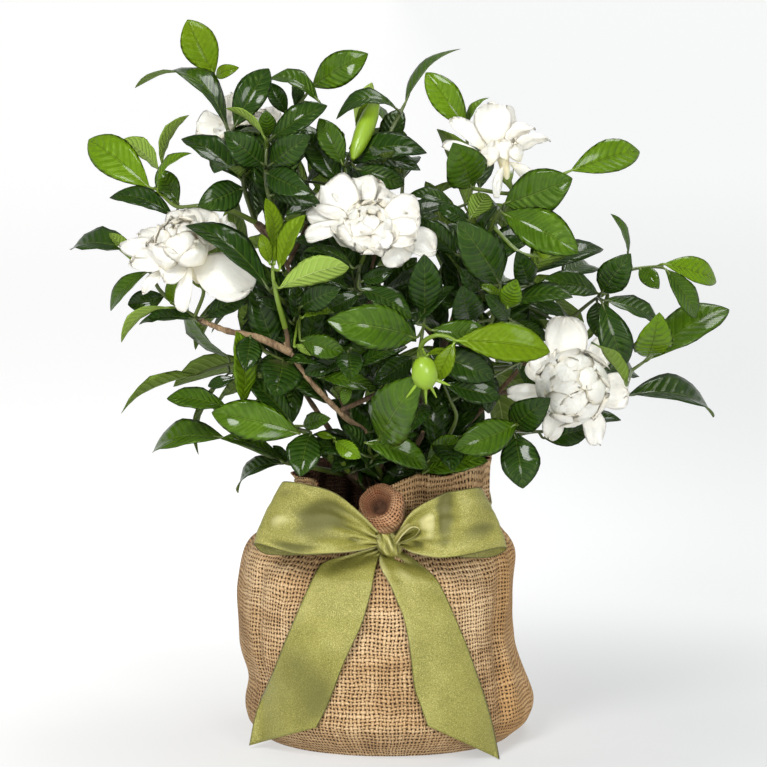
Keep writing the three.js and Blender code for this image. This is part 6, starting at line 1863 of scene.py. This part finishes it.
def chip_tree():
    """Chips strewn over the top of the soil."""
    tree, n, inputs = geometry_tree("bark_chips", {"Density": 1.0, "Material": None})
    normal = n.part(n.add("GeometryNodeInputNormal"), "Z")
    chip = n.add("GeometryNodeMeshIcoSphere", {}, {"Radius": CHIP["radius"], "Subdivisions": 1})
    sockets = {"Mesh": inputs, "Selection": normal > 0.7, "Density": inputs.other("Density"), "Seed": 7}
    points = n.add("GeometryNodeDistributePointsOnFaces", {}, sockets)


    def drawn(low, high, seed):
        sockets = {0: low, 1: high, "Seed": seed}
        return n.add("FunctionNodeRandomValue", {"data_type": "FLOAT_VECTOR"}, sockets)

    turn = drawn((0.0, 0.0, 0.0), CHIP["turn"], 3)
    scale = drawn(CHIP["least"], CHIP["most"], 4)
    sockets = {"Points": points, "Instance": chip, "Rotation": turn, "Scale": scale}
    chips = n.add("GeometryNodeInstanceOnPoints", {}, sockets)
    chips = n.add("GeometryNodeRealizeInstances", {}, {0: chips})
    n.end(n.both(chips, inputs), inputs)
    return tree


class GARDENIA_OT_stage(bpy.types.Operator):
    """Lay the floor and set the light and the camera"""
    bl_idname = "gardenia.stage"
    bl_label = "Stage"

    def execute(self, context):
        p = context.scene.gardenia_stage
        edge = around(FLOOR["reach"], circle(FLOOR["sides"]), 0)
        floor = mesh_object("studio_floor", edge, [range(FLOOR["sides"])])
        floor.data.materials.append(floor_finish())
        world = bpy.data.worlds.new("studio")
        world.use_nodes = True
        world.node_tree.nodes.clear()
        n = Nodes(world.node_tree)
        height = n.part(n.add("ShaderNodeTexCoord", out="Generated"), "Z")
        glow = n.mix(n.step(height, 0.1, 0.4), (0.93, 0.93, 0.93), (p.ambient, p.ambient, p.ambient))
        n.add("ShaderNodeOutputWorld", {}, {"Surface": n.add("ShaderNodeBackground", {}, {0: glow})})
        context.scene.world = world
        context.scene.view_settings.view_transform = "Standard"
        for name, (place, size, part) in LIGHTS.items():
            area(name, place, size, p.light * part)
        sight = bpy.data.cameras.new("camera")
        sight.sensor_width = CAMERA["sensor"]
        sight.lens = CAMERA["sensor"] * CAMERA["focus_pixels"] / CAMERA["frame_pixels"]
        sight.shift_x, sight.shift_y = CAMERA["shift"]
        eye = placed("camera", sight)
        eye.location = EYE_POINT * MM
        eye.rotation_euler = (math.pi / 2 - EYE["tilt"], 0, 0)
        context.scene.camera = eye
        return {"FINISHED"}


def area(name, place, size, power):
    """A soft light that faces the plant."""
    light = bpy.data.lights.new(name, "AREA")
    light.shape, light.size, light.energy = "DISK", size, power
    made = placed(name, light)
    made.location = place
    towards = vec(0, 0, LIGHT_AIM) - vec(*place)
    flat = math.hypot(towards[0], towards[1])
    made.rotation_euler = (math.atan2(flat, -towards[2]), 0, math.atan2(-towards[0], towards[1]))


class GARDENIA_PT_panel(bpy.types.Panel):
    """Lists the pieces of the plant"""
    bl_idname = "GARDENIA_PT_panel"
    bl_label = "Gardenia"
    bl_space_type = "VIEW_3D"
    bl_region_type = "UI"
    bl_category = "Gardenia"

    def draw(self, context):
        for key, (operator, _) in STEPS.items():
            box = self.layout.box()
            box.operator(operator.bl_idname)
            settings = getattr(context.scene, "gardenia_" + key)
            for name in settings.__annotations__:
                box.prop(settings, name)


STEPS = {
    "pot": (GARDENIA_OT_pot, PotSettings),
    "sack": (GARDENIA_OT_sack, SackSettings),
    "ribbon": (GARDENIA_OT_ribbon, RibbonSettings),
    "wood": (GARDENIA_OT_wood, WoodSettings),
    "foliage": (GARDENIA_OT_foliage, FoliageSettings),
    "blooms": (GARDENIA_OT_blooms, BloomSettings),
    "stage": (GARDENIA_OT_stage, StageSettings),
}


def register():
    for key, (operator, settings) in STEPS.items():
        bpy.utils.register_class(settings)
        setattr(bpy.types.Scene, "gardenia_" + key, PointerProperty(type=settings))
        bpy.utils.register_class(operator)
    bpy.utils.register_class(GARDENIA_PT_panel)


def unregister():
    bpy.utils.unregister_class(GARDENIA_PT_panel)
    for key, (operator, settings) in STEPS.items():
        bpy.utils.unregister_class(operator)
        delattr(bpy.types.Scene, "gardenia_" + key)
        bpy.utils.unregister_class(settings)


def main():
    register()
    for key in STEPS:
        getattr(bpy.ops.gardenia, key)()


if __name__ == "__main__":
    main()
